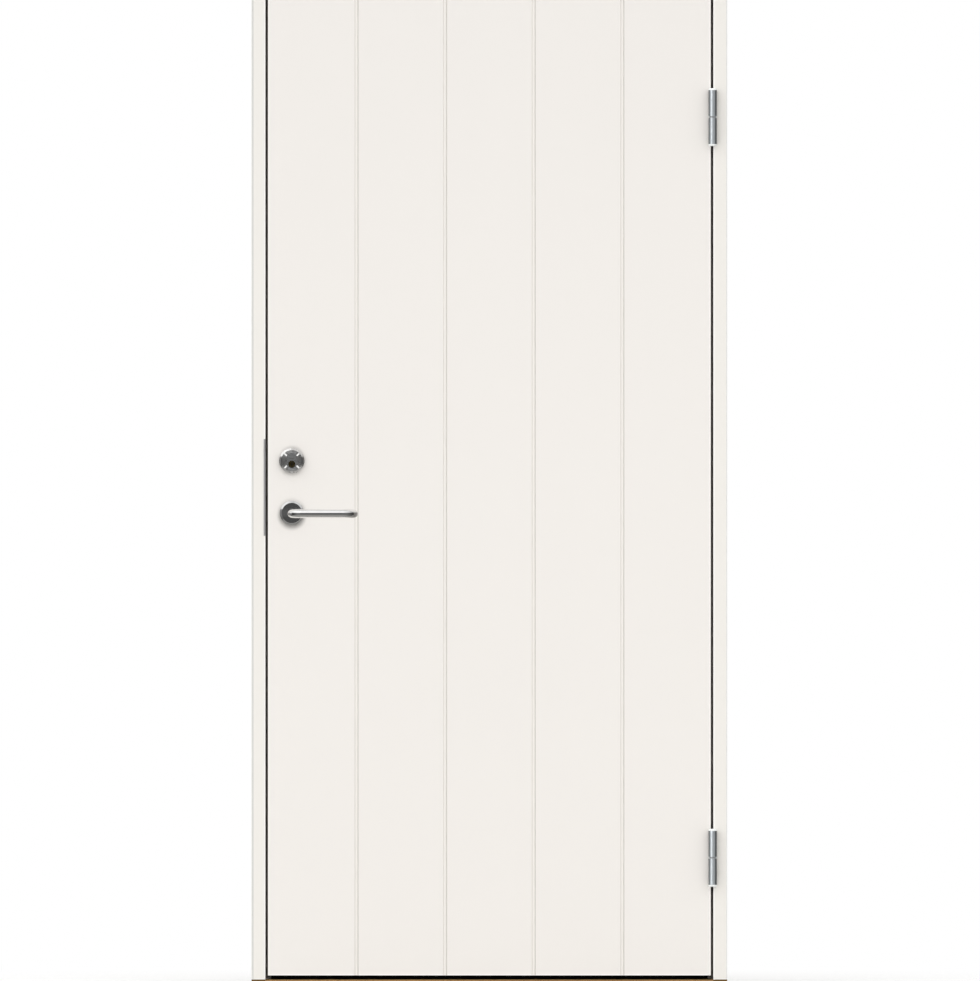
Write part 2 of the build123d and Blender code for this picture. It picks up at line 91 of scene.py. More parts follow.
class Slot(Enum):
    """The record's material slots."""

    FRAME_PAINT = "frame_paint"
    LEAF_PAINT = "leaf_paint"
    OAK = "oak"
    SEAL_RUBBER = "seal_rubber"
    HINGE_STEEL = "hinge_steel"
    LOCK_STEEL = "lock_steel"
    HANDLE_METAL = "handle_metal"
    PLUG_BRASS = "plug_brass"
    FIBRE_CORE = "fibre_core"


class Facing(Enum):
    """Which way a fitting looks, as its direction along Y."""

    OUTSIDE = -1
    INSIDE = 1

    @property
    def back(self) -> "Facing":
        """The other way."""
        return Facing(-self.value)

    @property
    def side(self) -> str:
        """The word that the names of the fittings on that side start with."""
        return "outer" if self is Facing.OUTSIDE else "inner"


class Hinge(Enum):
    """The two hinges, by the word that their names start with."""

    UPPER = "upper"
    LOWER = "lower"


class Jamb(Enum):
    """The two upright jambs, by the word that their names start with."""

    LOCK = "lock"
    HINGE = "hinge"

    @property
    def way(self) -> int:
        """The way that the jamb's reveal looks along X."""
        return 1 if self is Jamb.LOCK else -1


class Kind(Enum):
    """The kinds of socket that a node group has."""

    VECTOR = "NodeSocketVector"
    COLOUR = "NodeSocketColor"
    NUMBER = "NodeSocketFloat"


class Net:
    """A node tree that is being wired."""

    def __init__(self, tree: bpy.types.NodeTree) -> None:
        """Starts on an emptied tree."""
        tree.nodes.clear()
        self.tree = tree

    def add(self, kind: str, **settings: object) -> bpy.types.Node:
        """Adds a node.

        Args:
            kind: the node's type without its ShaderNode prefix, or a group's own input or output.
            settings: attributes to set on the node.

        Returns:
            The new node.
        """
        name = kind if kind.startswith("NodeGroup") else "ShaderNode" + kind
        node = self.tree.nodes.new(name)
        for key, value in settings.items():
            setattr(node, key, value)
        return node

    def feed(self, term: Term, socket: Socket) -> None:
        """Joins an output to an input, or sets the input to a value.

        Args:
            term: an output, a number, a vector or a colour.
            socket: the input.
        """
        if isinstance(term, Socket):
            self.tree.links.new(term, socket)
        elif socket.type == "RGBA":
            socket.default_value = (*term, 1.0)
        else:
            socket.default_value = term

    def feed_all(self, terms: Iterable[Term], sockets: Iterable[Socket]) -> None:
        """Feeds several inputs in their order."""
        for term, socket in zip(terms, sockets):
            self.feed(term, socket)

    def math(self, operation: str, *terms: Term) -> Socket:
        """Adds a Math node.

        Args:
            operation: Blender's name for the operation.
            terms: numbers or outputs, one for each input.

        Returns:
            The node's result.
        """
        node = self.add("Math", operation=operation)
        self.feed_all(terms, node.inputs)
        return node.outputs["Value"]

    def apart(self, first: Term, second: Term) -> Socket:
        """The difference between two values, without its sign."""
        return self.math("ABSOLUTE", self.math("SUBTRACT", first, second))

    def slant(self, across: Term, rise: Term) -> Socket:
        """The length of the straight line that goes so far across and so far up."""
        squares = [self.math("POWER", leg, 2.0) for leg in (across, rise)]
        return self.math("SQRT", self.math("ADD", *squares))

    def ramp(self, value: Term, low: Term, high: Term, to_low: float, to_high: float) -> Socket:
        """Adds a smooth step from one level to another.

        Args:
            value: the output that drives it.
            low: where the step starts, a number or an output.
            high: where it ends, a number or an output.
            to_low: the level before the start.
            to_high: the level past the end.

        Returns:
            The stepped value.
        """
        node = self.add("MapRange", interpolation_type="SMOOTHSTEP")
        self.feed_all((value, low, high, to_low, to_high), node.inputs)
        return node.outputs["Result"]

    def fade(self, value: Term, start: Term, width: Term) -> Socket:
        """Falls smoothly from 1 at a start to 0 at the far side of a width."""
        return self.ramp(value, start, self.math("ADD", start, width), 1.0, 0.0)

    def noise(self, vector: Socket, scale: Term, detail: float) -> Socket:
        """Adds a noise texture.

        Args:
            vector: the coordinates it is read at.
            scale: a number, or an output that holds one.
            detail: how many finer layers it has.

        Returns:
            The noise, from 0 to 1.
        """
        node = self.add("TexNoise")
        for name, term in (("Vector", vector), ("Scale", scale), ("Detail", detail)):
            self.feed(term, node.inputs[name])
        return node.outputs[0]

    def mix(self, factor: Term, first: Term, second: Term) -> Socket:
        """Mixes two colours.

        Args:
            factor: the share of the second colour.
            first: a colour or an output.
            second: a colour or an output.

        Returns:
            The mixed colour.
        """
        node = self.add("Mix", data_type="RGBA")
        self.feed_all((factor, first, second), [s for s in node.inputs if s.enabled])
        return next(s for s in node.outputs if s.enabled)

    def scaled(self, vector: Socket, factors: Term) -> Socket:
        """Multiplies a vector or colour.

        Args:
            vector: the output to multiply.
            factors: three numbers, or an output.

        Returns:
            The product.
        """
        node = self.add("VectorMath", operation="MULTIPLY")
        self.feed_all((vector, factors), node.inputs)
        return node.outputs["Vector"]

    def coordinates(self, kind: str) -> Socket:
        """The place of the point that is shaded, by one of Blender's kinds of coordinates."""
        return self.add("TexCoord").outputs[kind]

    def parts(self, place: Socket) -> list[Socket]:
        """Splits a place into its X, Y and Z.

        Args:
            place: the place.

        Returns:
            The three outputs.
        """
        node = self.add("SeparateXYZ")
        self.feed(place, node.inputs[0])
        return list(node.outputs)

    def plain(self, kind: str, colour: Term) -> Socket:
        """Adds a shader that has only a colour.

        Args:
            kind: the shader's type without its ShaderNode prefix.
            colour: a colour or an output.

        Returns:
            The shader's output.
        """
        node = self.add(kind)
        self.feed(colour, node.inputs["Color"])
        return node.outputs[0]

    def choose(self, factor: Socket, first: Socket, second: Socket) -> Socket:
        """Mixes two shaders.

        Args:
            factor: the share of the second shader.
            first: a shader's output.
            second: a shader's output.

        Returns:
            The mixed shader's output.
        """
        node = self.add("MixShader")
        self.feed_all((factor, first, second), node.inputs)
        return node.outputs[0]


class Effect:
    """A shader node group with named inputs and outputs, shared by several finishes."""

    NAME: str
    VECTORS: tuple[str, ...] = ("Place",)
    COLOURS: tuple[str, ...] = ()
    NUMBERS: tuple[str, ...] = ()
    OUTPUTS: dict[str, Kind] = {"Color": Kind.COLOUR, "Roughness": Kind.NUMBER, "Height": Kind.NUMBER}

    def __init__(self) -> None:
        """Makes the group's sockets and wires it."""
        self.tree = bpy.data.node_groups.new(self.NAME, "ShaderNodeTree")
        self.net = Net(self.tree)
        names = {Kind.VECTOR: self.VECTORS, Kind.COLOUR: self.COLOURS, Kind.NUMBER: self.NUMBERS}
        inputs = {name: kind for kind, group in names.items() for name in group}
        for way, sockets in (("INPUT", inputs), ("OUTPUT", self.OUTPUTS)):
            for name, kind in sockets.items():
                self.tree.interface.new_socket(name, in_out=way, socket_type=kind.value)
        self.source = self.net.add("NodeGroupInput").outputs
        result = self.net.add("NodeGroupOutput").inputs
        for name, socket in self.wire().items():
            self.net.feed(socket, result[name])

    def wire(self) -> dict[str, Socket]:
        """Wires the group and gives its outputs by name; each effect has its own way."""
        raise NotImplementedError

    def place(self, net: Net, **values: Term) -> bpy.types.NodeOutputs:
        """Places the group in a material.

        Args:
            net: the material's nodes.
            values: the inputs that are set, by name with _ for a space.

        Returns:
            The placed group's outputs.
        """
        node = net.add("Group", node_tree=self.tree)
        for key, value in values.items():
            net.feed(value, node.inputs[key.replace("_", " ").title()])
        return node.outputs


class PaintFilm(Effect):
    """Sprayed paint: a faint drift of tone and a fine stipple."""

    NAME = "Paint film"
    COLOURS = ("Tint",)
    NUMBERS = ("Tone Spread", "Stipple Size")
    DRIFT_SCALE = 2.3
    PATCH_SCALE = 14.0
    PATCH_EDGES = (0.2, 0.8)
    ROUGHNESS = (0.40, 0.50)

    def wire(self) -> dict[str, Socket]:
        """Wires the tone, the gloss and the stipple.

        Returns:
            The group's outputs by name.
        """
        net, source = self.net, self.source
        drift = net.math("SUBTRACT", net.noise(source["Place"], self.DRIFT_SCALE, detail=1.0), 0.5)
        level = net.math("ADD", net.math("MULTIPLY", drift, source["Tone Spread"]), 1.0)
        patches = net.noise(source["Place"], self.PATCH_SCALE, detail=2.0)
        fineness = net.math("DIVIDE", 1.0, source["Stipple Size"])
        return {
            "Color": net.scaled(source["Tint"], level),
            "Roughness": net.ramp(patches, *self.PATCH_EDGES, *self.ROUGHNESS),
            "Height": net.noise(source["Place"], fineness, detail=1.5),
        }


class BandTint(Effect):
    """A band of another tint on both sides of an upright centre line, over a limited height."""

    NAME = "Band"
    COLOURS = ("Tint", "Band Tint")
    NUMBERS = ("Half Width", "Softness", "Centre", "Middle", "Level", "Half Height", "Fade")
    OUTPUTS = {"Color": Kind.COLOUR}

    def wire(self) -> dict[str, Socket]:
        """Wires the band's mask across and up.

        Returns:
            The group's outputs by name.
        """
        net, source = self.net, self.source
        x, _, z = net.parts(source["Place"])
        off = net.apart(net.apart(x, source["Centre"]), source["Middle"])
        beside = net.fade(off, source["Half Width"], source["Softness"])
        rise = net.fade(net.apart(z, source["Level"]), source["Half Height"], source["Fade"])
        mask = net.math("MULTIPLY", beside, rise)
        return {"Color": net.mix(mask, source["Tint"], source["Band Tint"])}


class GrooveShade(Effect):
    """A tint painted along one line of each upright groove in a boarded panel: painted shade by the walls,
    painted light on the floor.
    """

    NAME = "Groove shade"
    COLOURS = ("Tint", "Shade Tint")
    NUMBERS = ("Pitch", "Wall", "Half Width", "Reach")
    OUTPUTS = {"Color": Kind.COLOUR}
    SOLID_SHARE = 0.6

    def wire(self) -> dict[str, Socket]:
        """Wires the line's mask, which comes again at every groove within reach.

        Returns:
            The group's outputs by name.
        """
        net, source = self.net, self.source
        x = net.parts(source["Place"])[0]
        boards = net.math("SUBTRACT", net.math("DIVIDE", x, source["Pitch"]), 0.5)
        off_groove = net.math("SUBTRACT", boards, net.math("ROUND", boards))
        off_line = net.apart(net.math("MULTIPLY", off_groove, source["Pitch"]), source["Wall"])
        solid = net.math("MULTIPLY", source["Half Width"], self.SOLID_SHARE)
        line = net.ramp(off_line, solid, source["Half Width"], 1.0, 0.0)
        inside = net.math("LESS_THAN", net.math("ABSOLUTE", x), source["Reach"])
        mask = net.math("MULTIPLY", line, inside)
        return {"Color": net.mix(mask, source["Tint"], source["Shade Tint"])}


class Shadowing(Effect):
    """A soft round painted shadow on an upright face."""

    NAME = "Shadowing"
    COLOURS = ("Tint", "Shadow Tint")
    NUMBERS = ("Across", "Level", "Radius", "Reach")
    OUTPUTS = {"Color": Kind.COLOUR}

    def wire(self) -> dict[str, Socket]:
        """Wires the painted shadow's mask.

        Returns:
            The group's outputs by name.
        """
        net, source = self.net, self.source
        x, _, z = net.parts(source["Place"])
        away = net.slant(net.apart(x, source["Across"]), net.apart(z, source["Level"]))
        mask = net.fade(away, source["Radius"], source["Reach"])
        return {"Color": net.mix(mask, source["Tint"], source["Shadow Tint"])}


class DrawnLines(Effect):
    """Long fine streaks: brush lines in metal, or grain in timber."""

    NAME = "Drawn lines"
    VECTORS = ("Place", "Stretch")
    COLOURS = ("Tint", "Line Tint")
    NUMBERS = ("Spread",)
    FINENESS = (1.0, 7.0, 7.0)
    BROAD_SHARE = 0.6
    FINE_SHARE = 0.4
    TINT_EDGES = (0.35, 0.65)
    GLOSS_EDGES = (0.3, 0.7)
    ROUGHNESS = (0.24, 0.36)

    def wire(self) -> dict[str, Socket]:
        """Wires broad and fine streaks into tint, gloss and height.

        Returns:
            The group's outputs by name.
        """
        net, source = self.net, self.source
        stretched = net.scaled(source["Place"], source["Stretch"])
        broad = net.noise(stretched, 1.0, detail=3.0)
        fine = net.noise(net.scaled(stretched, self.FINENESS), 1.0, detail=2.0)
        broad = net.math("MULTIPLY", broad, self.BROAD_SHARE)
        streak = net.math("ADD", broad, net.math("MULTIPLY", fine, self.FINE_SHARE))
        share = net.math("MULTIPLY", net.ramp(streak, *self.TINT_EDGES, 0.0, 1.0), source["Spread"])
        return {
            "Color": net.mix(share, source["Tint"], source["Line Tint"]),
            "Roughness": net.ramp(streak, *self.GLOSS_EDGES, *self.ROUGHNESS),
            "Height": streak,
        }


class Handling(Effect):
    """Faint smears and small pits left by hands and weather on bare metal."""

    NAME = "Handling"
    NUMBERS = ("Smooth", "Worn")
    OUTPUTS = {"Roughness": Kind.NUMBER, "Height": Kind.NUMBER, "Mask": Kind.NUMBER}
    SMEAR_SCALE = 60.0
    SMEAR_EDGES = (0.45, 0.75)
    PIT_SCALE = 900.0

    def wire(self) -> dict[str, Socket]:
        """Wires the smears and the pits.

        Returns:
            The group's outputs by name.
        """
        net, source = self.net, self.source
        smear = net.noise(source["Place"], self.SMEAR_SCALE, detail=3.0)
        mask = net.ramp(smear, *self.SMEAR_EDGES, 0.0, 1.0)
        extra = net.math("MULTIPLY", mask, net.math("SUBTRACT", source["Worn"], source["Smooth"]))
        return {
            "Roughness": net.math("ADD", extra, source["Smooth"]),
            "Height": net.noise(source["Place"], self.PIT_SCALE, detail=2.0),
            "Mask": mask,
        }


class FineGrain(Effect):
    """A matt grain for rubber, board and dull plastic."""

    NAME = "Fine grain"
    COLOURS = ("Tint", "Dust Tint")
    NUMBERS = ("Grain Size", "Dust")
    DUST_SCALE = 25.0
    DUST_EDGES = (0.4, 0.8)
    GRAIN_EDGES = (0.3, 0.7)
    ROUGHNESS = (0.6, 0.8)

    def wire(self) -> dict[str, Socket]:
        """Wires the grain and the dust that settles on it.

        Returns:
            The group's outputs by name.
        """
        net, source = self.net, self.source
        fineness = net.math("DIVIDE", 1.0, source["Grain Size"])
        grain = net.noise(source["Place"], fineness, detail=3.0)
        settled = net.noise(source["Place"], self.DUST_SCALE, detail=2.0)
        share = net.math("MULTIPLY", net.ramp(settled, *self.DUST_EDGES, 0.0, 1.0), source["Dust"])
        return {
            "Color": net.mix(share, source["Tint"], source["Dust Tint"]),
            "Roughness": net.ramp(grain, *self.GRAIN_EDGES, *self.ROUGHNESS),
            "Height": grain,
        }


class Effects:
    """The surface effects that the finishes share, each built once."""

    def __init__(self) -> None:
        """Builds every group."""
        self.paint_film = PaintFilm()
        self.band = BandTint()
        self.groove_shade = GrooveShade()
        self.shadowing = Shadowing()
        self.drawn_lines = DrawnLines()
        self.handling = Handling()
        self.fine_grain = FineGrain()


@dataclass(frozen=True)
class Surface:
    """A material that is being wired: its nodes, its shader, its coordinates and the shared effects."""

    net: Net
    shader: bpy.types.Node
    place: Socket
    effects: Effects

    def lay(self, effect: Effect, **values: Term) -> bpy.types.NodeOutputs:
        """Places an effect at the surface's own coordinates, with its values by name."""
        return effect.place(self.net, place=self.place, **values)

    def set(self, inputs: dict[str, Term]) -> None:
        """Joins or sets inputs of the shader by name."""
        for name, term in inputs.items():
            self.net.feed(term, self.shader.inputs[name])


@dataclass(frozen=True)
class Band:
    """A band of another tint, at a distance from an upright centre line and over a limited height."""

    band_tint: Colour
    half_width: float
    softness: float = 0.8 * MM
    centre: float = 0.0
    middle: float = 0.0
    level: float = 1.0
    half_height: float = 2.0
    fade: float = 1.0 * MM


@dataclass(frozen=True)
class Shadow:
    """A soft painted shadow round a fitting."""

    shadow_tint: Colour
    across: float
    level: float
    radius: float
    reach: float


@dataclass(frozen=True)
class GrooveShading:
    """Painted shade along the walls of a boarded panel's grooves, darker on the right, and a painted
    lighter floor between.
    """

    pitch: float
    wall: float
    half_width: float
    left_tint: Colour
    floor_tint: Colour
    right_tint: Colour
    grooves_aside: int = 2


@dataclass(frozen=True)
class Finish:
    """A surface finish: its tint, its relief and the bands over it."""

    tint: Colour
    bump: float = 0.1
    bump_depth: float = 0.2 * MM
    bands: tuple[Band, ...] = ()

    def material(self, name: str, effects: Effects) -> bpy.types.Material:
        """Makes the finish's material.

        Args:
            name: the material's name.
            effects: the shared effects.

        Returns:
            The material.
        """
        material = bpy.data.materials.new(name)
        material.use_nodes = True
        net = Net(material.node_tree)
        shader = net.add("BsdfPrincipled")
        net.feed(shader.outputs["BSDF"], net.add("OutputMaterial").inputs["Surface"])
        self.dress(Surface(net, shader, net.coordinates("Object"), effects))
        return material

    def dress(self, surface: Surface) -> None:
        """Wires the finish's own look; each kind of finish has its own."""
        raise NotImplementedError

    def banded(self, surface: Surface, colour: Socket) -> Socket:
        """Lays the finish's bands over a colour.

        Args:
            surface: the material.
            colour: the colour under the bands.

        Returns:
            The banded colour.
        """
        for band in self.bands:
            colour = surface.lay(surface.effects.band, tint=colour, **asdict(band))["Color"]
        return colour

    def relief(self, surface: Surface, height: Socket) -> None:
        """Joins a height to the shader's normal.

        Args:
            surface: the material.
            height: the height that varies over the surface.
        """
        bump = surface.net.add("Bump")
        bump.inputs["Strength"].default_value = self.bump
        bump.inputs["Distance"].default_value = self.bump_depth
        surface.net.feed(height, bump.inputs["Height"])
        surface.set({"Normal": bump.outputs["Normal"]})


@dataclass(frozen=True)
class Paint(Finish):
    """Satin paint on timber, with painted shadows round its fittings and painted shade and light in its
    grooves.
    """

    tone_spread: float = 0.012
    stipple_size: float = 1.6 * MM
    gloss: float = 0.3
    shadows: tuple[Shadow, ...] = ()
    grooves: GrooveShading | None = None

    def grooved(self, surface: Surface, colour: Socket) -> Socket:
        """Lays the grooves' painted shade and painted light over a colour.

        Args:
            surface: the material.
            colour: the colour under the painted shade and light.

        Returns:
            The colour with the painted shade and light.
        """
        shading = self.grooves
        for side, tint in ((0, shading.floor_tint), (-1, shading.left_tint), (1, shading.right_tint)):
            colour = surface.lay(
                surface.effects.groove_shade,
                tint=colour,
                shade_tint=tint,
                pitch=shading.pitch,
                wall=side * shading.wall,
                half_width=shading.half_width,
                reach=shading.grooves_aside * shading.pitch,
            )["Color"]
        return colour

    def dress(self, surface: Surface) -> None:
        """Wires the paint film, its painted bands, its painted shadows and its grooves' painted shade and
        light.

        Args:
            surface: the material.
        """
        film = surface.lay(
            surface.effects.paint_film,
            tint=self.tint,
            tone_spread=self.tone_spread,
            stipple_size=self.stipple_size,
        )
        colour = self.banded(surface, film["Color"])
        for shadow in self.shadows:
            colour = surface.lay(surface.effects.shadowing, tint=colour, **asdict(shadow))["Color"]
        if self.grooves:
            colour = self.grooved(surface, colour)
        surface.set({"Base Color": colour, "Roughness": film["Roughness"]})
        surface.set({"Specular IOR Level": self.gloss})
        self.relief(surface, film["Height"])


@dataclass(frozen=True)
class Streaked(Finish):
    """A finish with long fine streaks, under its bands."""

    line_tint: Colour = (0.5, 0.52, 0.55)
    stretch: tuple[float, float, float] = (900.0, 900.0, 12.0)
    spread: float = 0.5
    roughness_shift: float = 0.0

    def dress(self, surface: Surface) -> None:
        """Wires the streaks and the bands.

        Args:
            surface: the material.
        """
        lines = surface.lay(
            surface.effects.drawn_lines,
            stretch=self.stretch,
            tint=self.tint,
            line_tint=self.line_tint,
            spread=self.spread,
        )
        rough = surface.net.math("ADD", lines["Roughness"], self.roughness_shift)
        surface.set({"Base Color": self.banded(surface, lines["Color"]), "Roughness": rough})
        self.relief(surface, lines["Height"])


@dataclass(frozen=True)
class Oak(Streaked):
    """Oiled oak with long grain along X."""

    line_tint: Colour = (0.26, 0.14, 0.055)
    stretch: tuple[float, float, float] = (5.0, 70.0, 110.0)
    spread: float = 0.6
    roughness_shift: float = 0.2
    gloss: float = 0.2

    def dress(self, surface: Surface) -> None:
        """Wires the grain and sets the oil's gloss."""
        super().dress(surface)
        surface.set({"Specular IOR Level": self.gloss})


@dataclass(frozen=True)
class BrushedMetal(Streaked):
    """Metal with drawn brush lines, or turning lines round the Y axis."""

    bare: float = 1.0
    turned: float = 0.0
    turned_lie: float = 0.25

    def dress(self, surface: Surface) -> None:
        """Wires the brush lines and the way that turned metal shines.

        Args:
            surface: the material.
        """
        super().dress(surface)
        surface.set({"Metallic": self.bare})
        if self.turned:
            tangent = surface.net.add("Tangent", direction_type="RADIAL", axis="Y").outputs["Tangent"]
            surface.set(
                {"Anisotropic": self.turned, "Anisotropic Rotation": self.turned_lie, "Tangent": tangent}
            )


@dataclass(frozen=True)
class PolishedMetal(Finish):
    """Smooth metal with faint smears."""

    worn_tint: Colour = (0.62, 0.62, 0.62)
    smooth: float = 0.13
    worn: float = 0.2

    def dress(self, surface: Surface) -> None:
        """Wires the smears into colour and gloss.

        Args:
            surface: the material.
        """
        hands = surface.lay(surface.effects.handling, smooth=self.smooth, worn=self.worn)
        smeared = surface.net.mix(hands["Mask"], self.tint, self.worn_tint)
        colour = self.banded(surface, smeared)
        surface.set({"Base Color": colour, "Roughness": hands["Roughness"], "Metallic": 1.0})
        self.relief(surface, hands["Height"])


@dataclass(frozen=True)
class Grained(Finish):
    """Rubber, plastic or fibre board with a matt grain and a little dust."""

    dust_tint: Colour = (0.2, 0.2, 0.19)
    grain_size: float = 0.8 * MM
    dust: float = 0.15
    gloss: float = 0.25

    def dress(self, surface: Surface) -> None:
        """Wires the grain and dust.

        Args:
            surface: the material.
        """
        grain = surface.lay(
            surface.effects.fine_grain,
            tint=self.tint,
            dust_tint=self.dust_tint,
            grain_size=self.grain_size,
            dust=self.dust,
        )
        surface.set({"Base Color": grain["Color"], "Roughness": grain["Roughness"]})
        surface.set({"Specular IOR Level": self.gloss})
        self.relief(surface, grain["Height"])


class Coat(Enum):
    """The finishes that the door carries, by the names of their materials."""

    FRAME_PAINT = "frame paint"
    LEAF_PAINT = "leaf paint"
    OAK = "oiled oak"
    HINGE_STEEL = "zinc hinge steel"
    LOCK_STEEL = "lock steel"
    SCREW_STEEL = "screw steel"
    LEVER_METAL = "polished lever metal"
    ROSETTE_METAL = "polished rosette metal"
    RING_METAL = "turned ring metal"
    BODY_METAL = "brushed cylinder metal"
    PLUG_BRASS = "dark plug brass"
    SIDE_RUBBER = "grey seal rubber"
    SILL_RUBBER = "black seal rubber"
    SLOT_FILL = "white slot fill"
    KEYWAY = "keyway dark"
    NYLON = "pale nylon"
    CAP_NYLON = "white cap nylon"
    FIBRE = "fibre board"


def box_middle(node: str) -> Vector:
    """The middle of a CAD node's box."""
    low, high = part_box(node)
    return (low + high) / 2


class Places:
    """Places on the door that the painted bands and painted shadows of its finishes follow, read from the
    frame.
    """

    BOARDS = 5

    def __init__(self) -> None:
        """Reads the boxes of the CAD nodes that have the places."""
        jamb_low, jamb_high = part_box("hinge_jamb")
        panel_low, panel_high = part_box("outer_panel")
        rosette, ring = box_middle("outer_rosette"), box_middle("cylinder_ring")
        joints = [box_middle(f"{hinge.value}_hinge_leaf_half") for hinge in Hinge]
        self.frame_edge = jamb_high.x
        self.jamb_foot = jamb_low.z
        self.reveal_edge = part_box("head_jamb")[1].x
        self.leaf_edge = panel_high.x
        self.leaf_foot = panel_low.z
        self.board_pitch = 2 * panel_high.x / self.BOARDS
        self.lock_axis = rosette.x
        self.lever_level = rosette.z
        self.lever_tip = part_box("outer_lever")[1].x
        self.cylinder_level = ring.z
        self.hinge_axis = joints[0].x
        self.hinge_joints = [joint.z for joint in joints]


class Palette:
    """The door's finishes, each made into one material for all the pieces that carry it."""

    def __init__(self) -> None:
        """Builds the shared effects and works out every finish."""
        at = Places()
        self.effects = Effects()
        self.finishes: dict[Coat, Finish] = {
            **self.timber(at),
            **self.steels(at),
            **self.handle_metals(at),
            **self.cylinder_metals(at),
            **self.matt_finishes(),
        }

    def material(self, coat: Coat) -> bpy.types.Material:
        """Makes a coat's material, or finds it if it is made.

        Args:
            coat: the coat.

        Returns:
            The material.
        """
        found = bpy.data.materials.get(coat.value)
        return found or self.finishes[coat].material(coat.value, self.effects)

    @staticmethod
    def timber(at: Places) -> dict[Coat, Finish]:
        """Works out the paints of the frame and the leaf, and the sill's oak.

        Args:
            at: the places on the door.

        Returns:
            The finishes by coat.
        """
        frame_paint = Paint(
            (0.893, 0.867, 0.821),
            bands=(
                # Painted shade along the frame's outer edges, and a painted highlight along each reveal's
                # arris.
                Band((0.70, 0.70, 0.672), 1.4 * MM, centre=2.5 * MM - at.frame_edge),
                Band((0.84, 0.84, 0.815), 0.8 * MM, centre=at.frame_edge - 1.2 * MM),
                Band((0.97, 0.955, 0.925), 1.4 * MM, middle=at.reveal_edge + 1.8 * MM),
            ),
        )
        foot_level = at.leaf_foot + 1.7 * MM
        leaf_paint = Paint(
            (0.896, 0.863, 0.826),
            bands=(
                # Painted highlights along the leaf's side arrises and a painted light strip along its foot.
                Band((0.945, 0.92, 0.885), 1.2 * MM, middle=at.leaf_edge - 2.7 * MM),
                Band((0.955, 0.93, 0.895), at.frame_edge, level=foot_level, half_height=1.2 * MM),
            ),
            # Painted shadows: a halo over the cylinder, one round the rosette and a drop shadow below the
            # rosette.
            shadows=(
                Shadow((0.70, 0.673, 0.644), at.lock_axis, at.cylinder_level + 5.0 * MM, 21.5 * MM, 8.5 * MM),
                Shadow((0.825, 0.795, 0.761), at.lock_axis, at.lever_level, 26.0 * MM, 8.0 * MM),
                Shadow((0.538, 0.518, 0.496), at.lock_axis, at.lever_level - 6.0 * MM, 21.5 * MM, 12.0 * MM),
            ),
            # Painted shade on the groove walls, heavier on the right, and painted light on the groove
            # floors.
            grooves=GrooveShading(
                at.board_pitch,
                wall=3.4 * MM,
                half_width=1.4 * MM,
                left_tint=(0.885, 0.852, 0.812),
                floor_tint=(0.965, 0.935, 0.895),
                right_tint=(0.70, 0.672, 0.635),
            ),
        )
        sill_shade_level = at.jamb_foot + 0.4 * MM
        oak = Oak(
            (0.48, 0.293, 0.120),
            bump=0.25,
            # Painted shade on the oak: a dark line along the sill's top edge, and darker ends under the
            # jambs.
            bands=(
                Band((0.20, 0.12, 0.05), at.frame_edge, level=sill_shade_level, half_height=0.8 * MM),
                Band((0.160, 0.072, 0.016), 15.0 * MM, middle=at.frame_edge - 13.5 * MM),
            ),
        )
        return {Coat.FRAME_PAINT: frame_paint, Coat.LEAF_PAINT: leaf_paint, Coat.OAK: oak}

    @staticmethod
    def steels(at: Places) -> dict[Coat, Finish]:
        """Works out the steels of the hinges, the lock and the screws.

        Args:
            at: the places on the door.

        Returns:
            The finishes by coat.
        """
        # Painted shade down the left and right edges of each hinge barrel.
        painted_shade_edges = (
            Band((0.125, 0.135, 0.14), 1.8 * MM, softness=1.2 * MM, centre=at.hinge_axis - 8.7 * MM),
            Band((0.19, 0.20, 0.205), 2.6 * MM, softness=2.0 * MM, centre=at.hinge_axis + 8.0 * MM),
        )
        # A flat grey band at each hinge joint: a dark joint line that also paints the mid-grey the bevelled
        # ends reflect.
        joints = [
            Band((0.52, 0.545, 0.575), at.frame_edge, level=level, half_height=1.8 * MM, fade=0.6 * MM)
            for level in (joint + 0.3 * MM for joint in at.hinge_joints)
        ]
        hinge_steel = BrushedMetal(
            (0.70, 0.745, 0.775),
            line_tint=(0.60, 0.65, 0.69),
            roughness_shift=0.10,
            bare=0.8,
            bands=(*painted_shade_edges, *joints),
        )
        lock_steel = BrushedMetal(
            (0.62, 0.62, 0.62), line_tint=(0.48, 0.48, 0.49), roughness_shift=0.16, bare=0.7
        )
        screw_steel = PolishedMetal((0.56, 0.57, 0.58), smooth=0.28, worn=0.4)
        return {
            Coat.HINGE_STEEL: hinge_steel,
            Coat.LOCK_STEEL: lock_steel,
            Coat.SCREW_STEEL: screw_steel,
        }

    @staticmethod
    def handle_metals(at: Places) -> dict[Coat, Finish]:
        """Works out the polished metal of the levers and of their rosettes.

        Args:
            at: the places on the door.

        Returns:
            The finishes by coat.
        """
        # Painted dark reflections on the lever's bar: one near its tip, one by its neck.
        painted_dark_tip = Band(
            (0.20, 0.20, 0.195),
            6.0 * MM,
            softness=26.0 * MM,
            centre=at.lever_tip,
            level=at.lever_level - 4.4 * MM,
            half_height=3.5 * MM,
            fade=5.0 * MM,
        )
        painted_dark_neck = Band(
            (0.20, 0.20, 0.20),
            3.0 * MM,
            softness=12.0 * MM,
            centre=at.lock_axis - 1.8 * MM,
            level=at.lever_level - 2.4 * MM,
            half_height=1.2 * MM,
            fade=2.5 * MM,
        )
        lever_metal = PolishedMetal(
            (0.86, 0.86, 0.86),
            worn_tint=(0.82, 0.82, 0.82),
            smooth=0.09,
            worn=0.12,
            bump=0.01,
            bands=(painted_dark_tip, painted_dark_neck),
        )
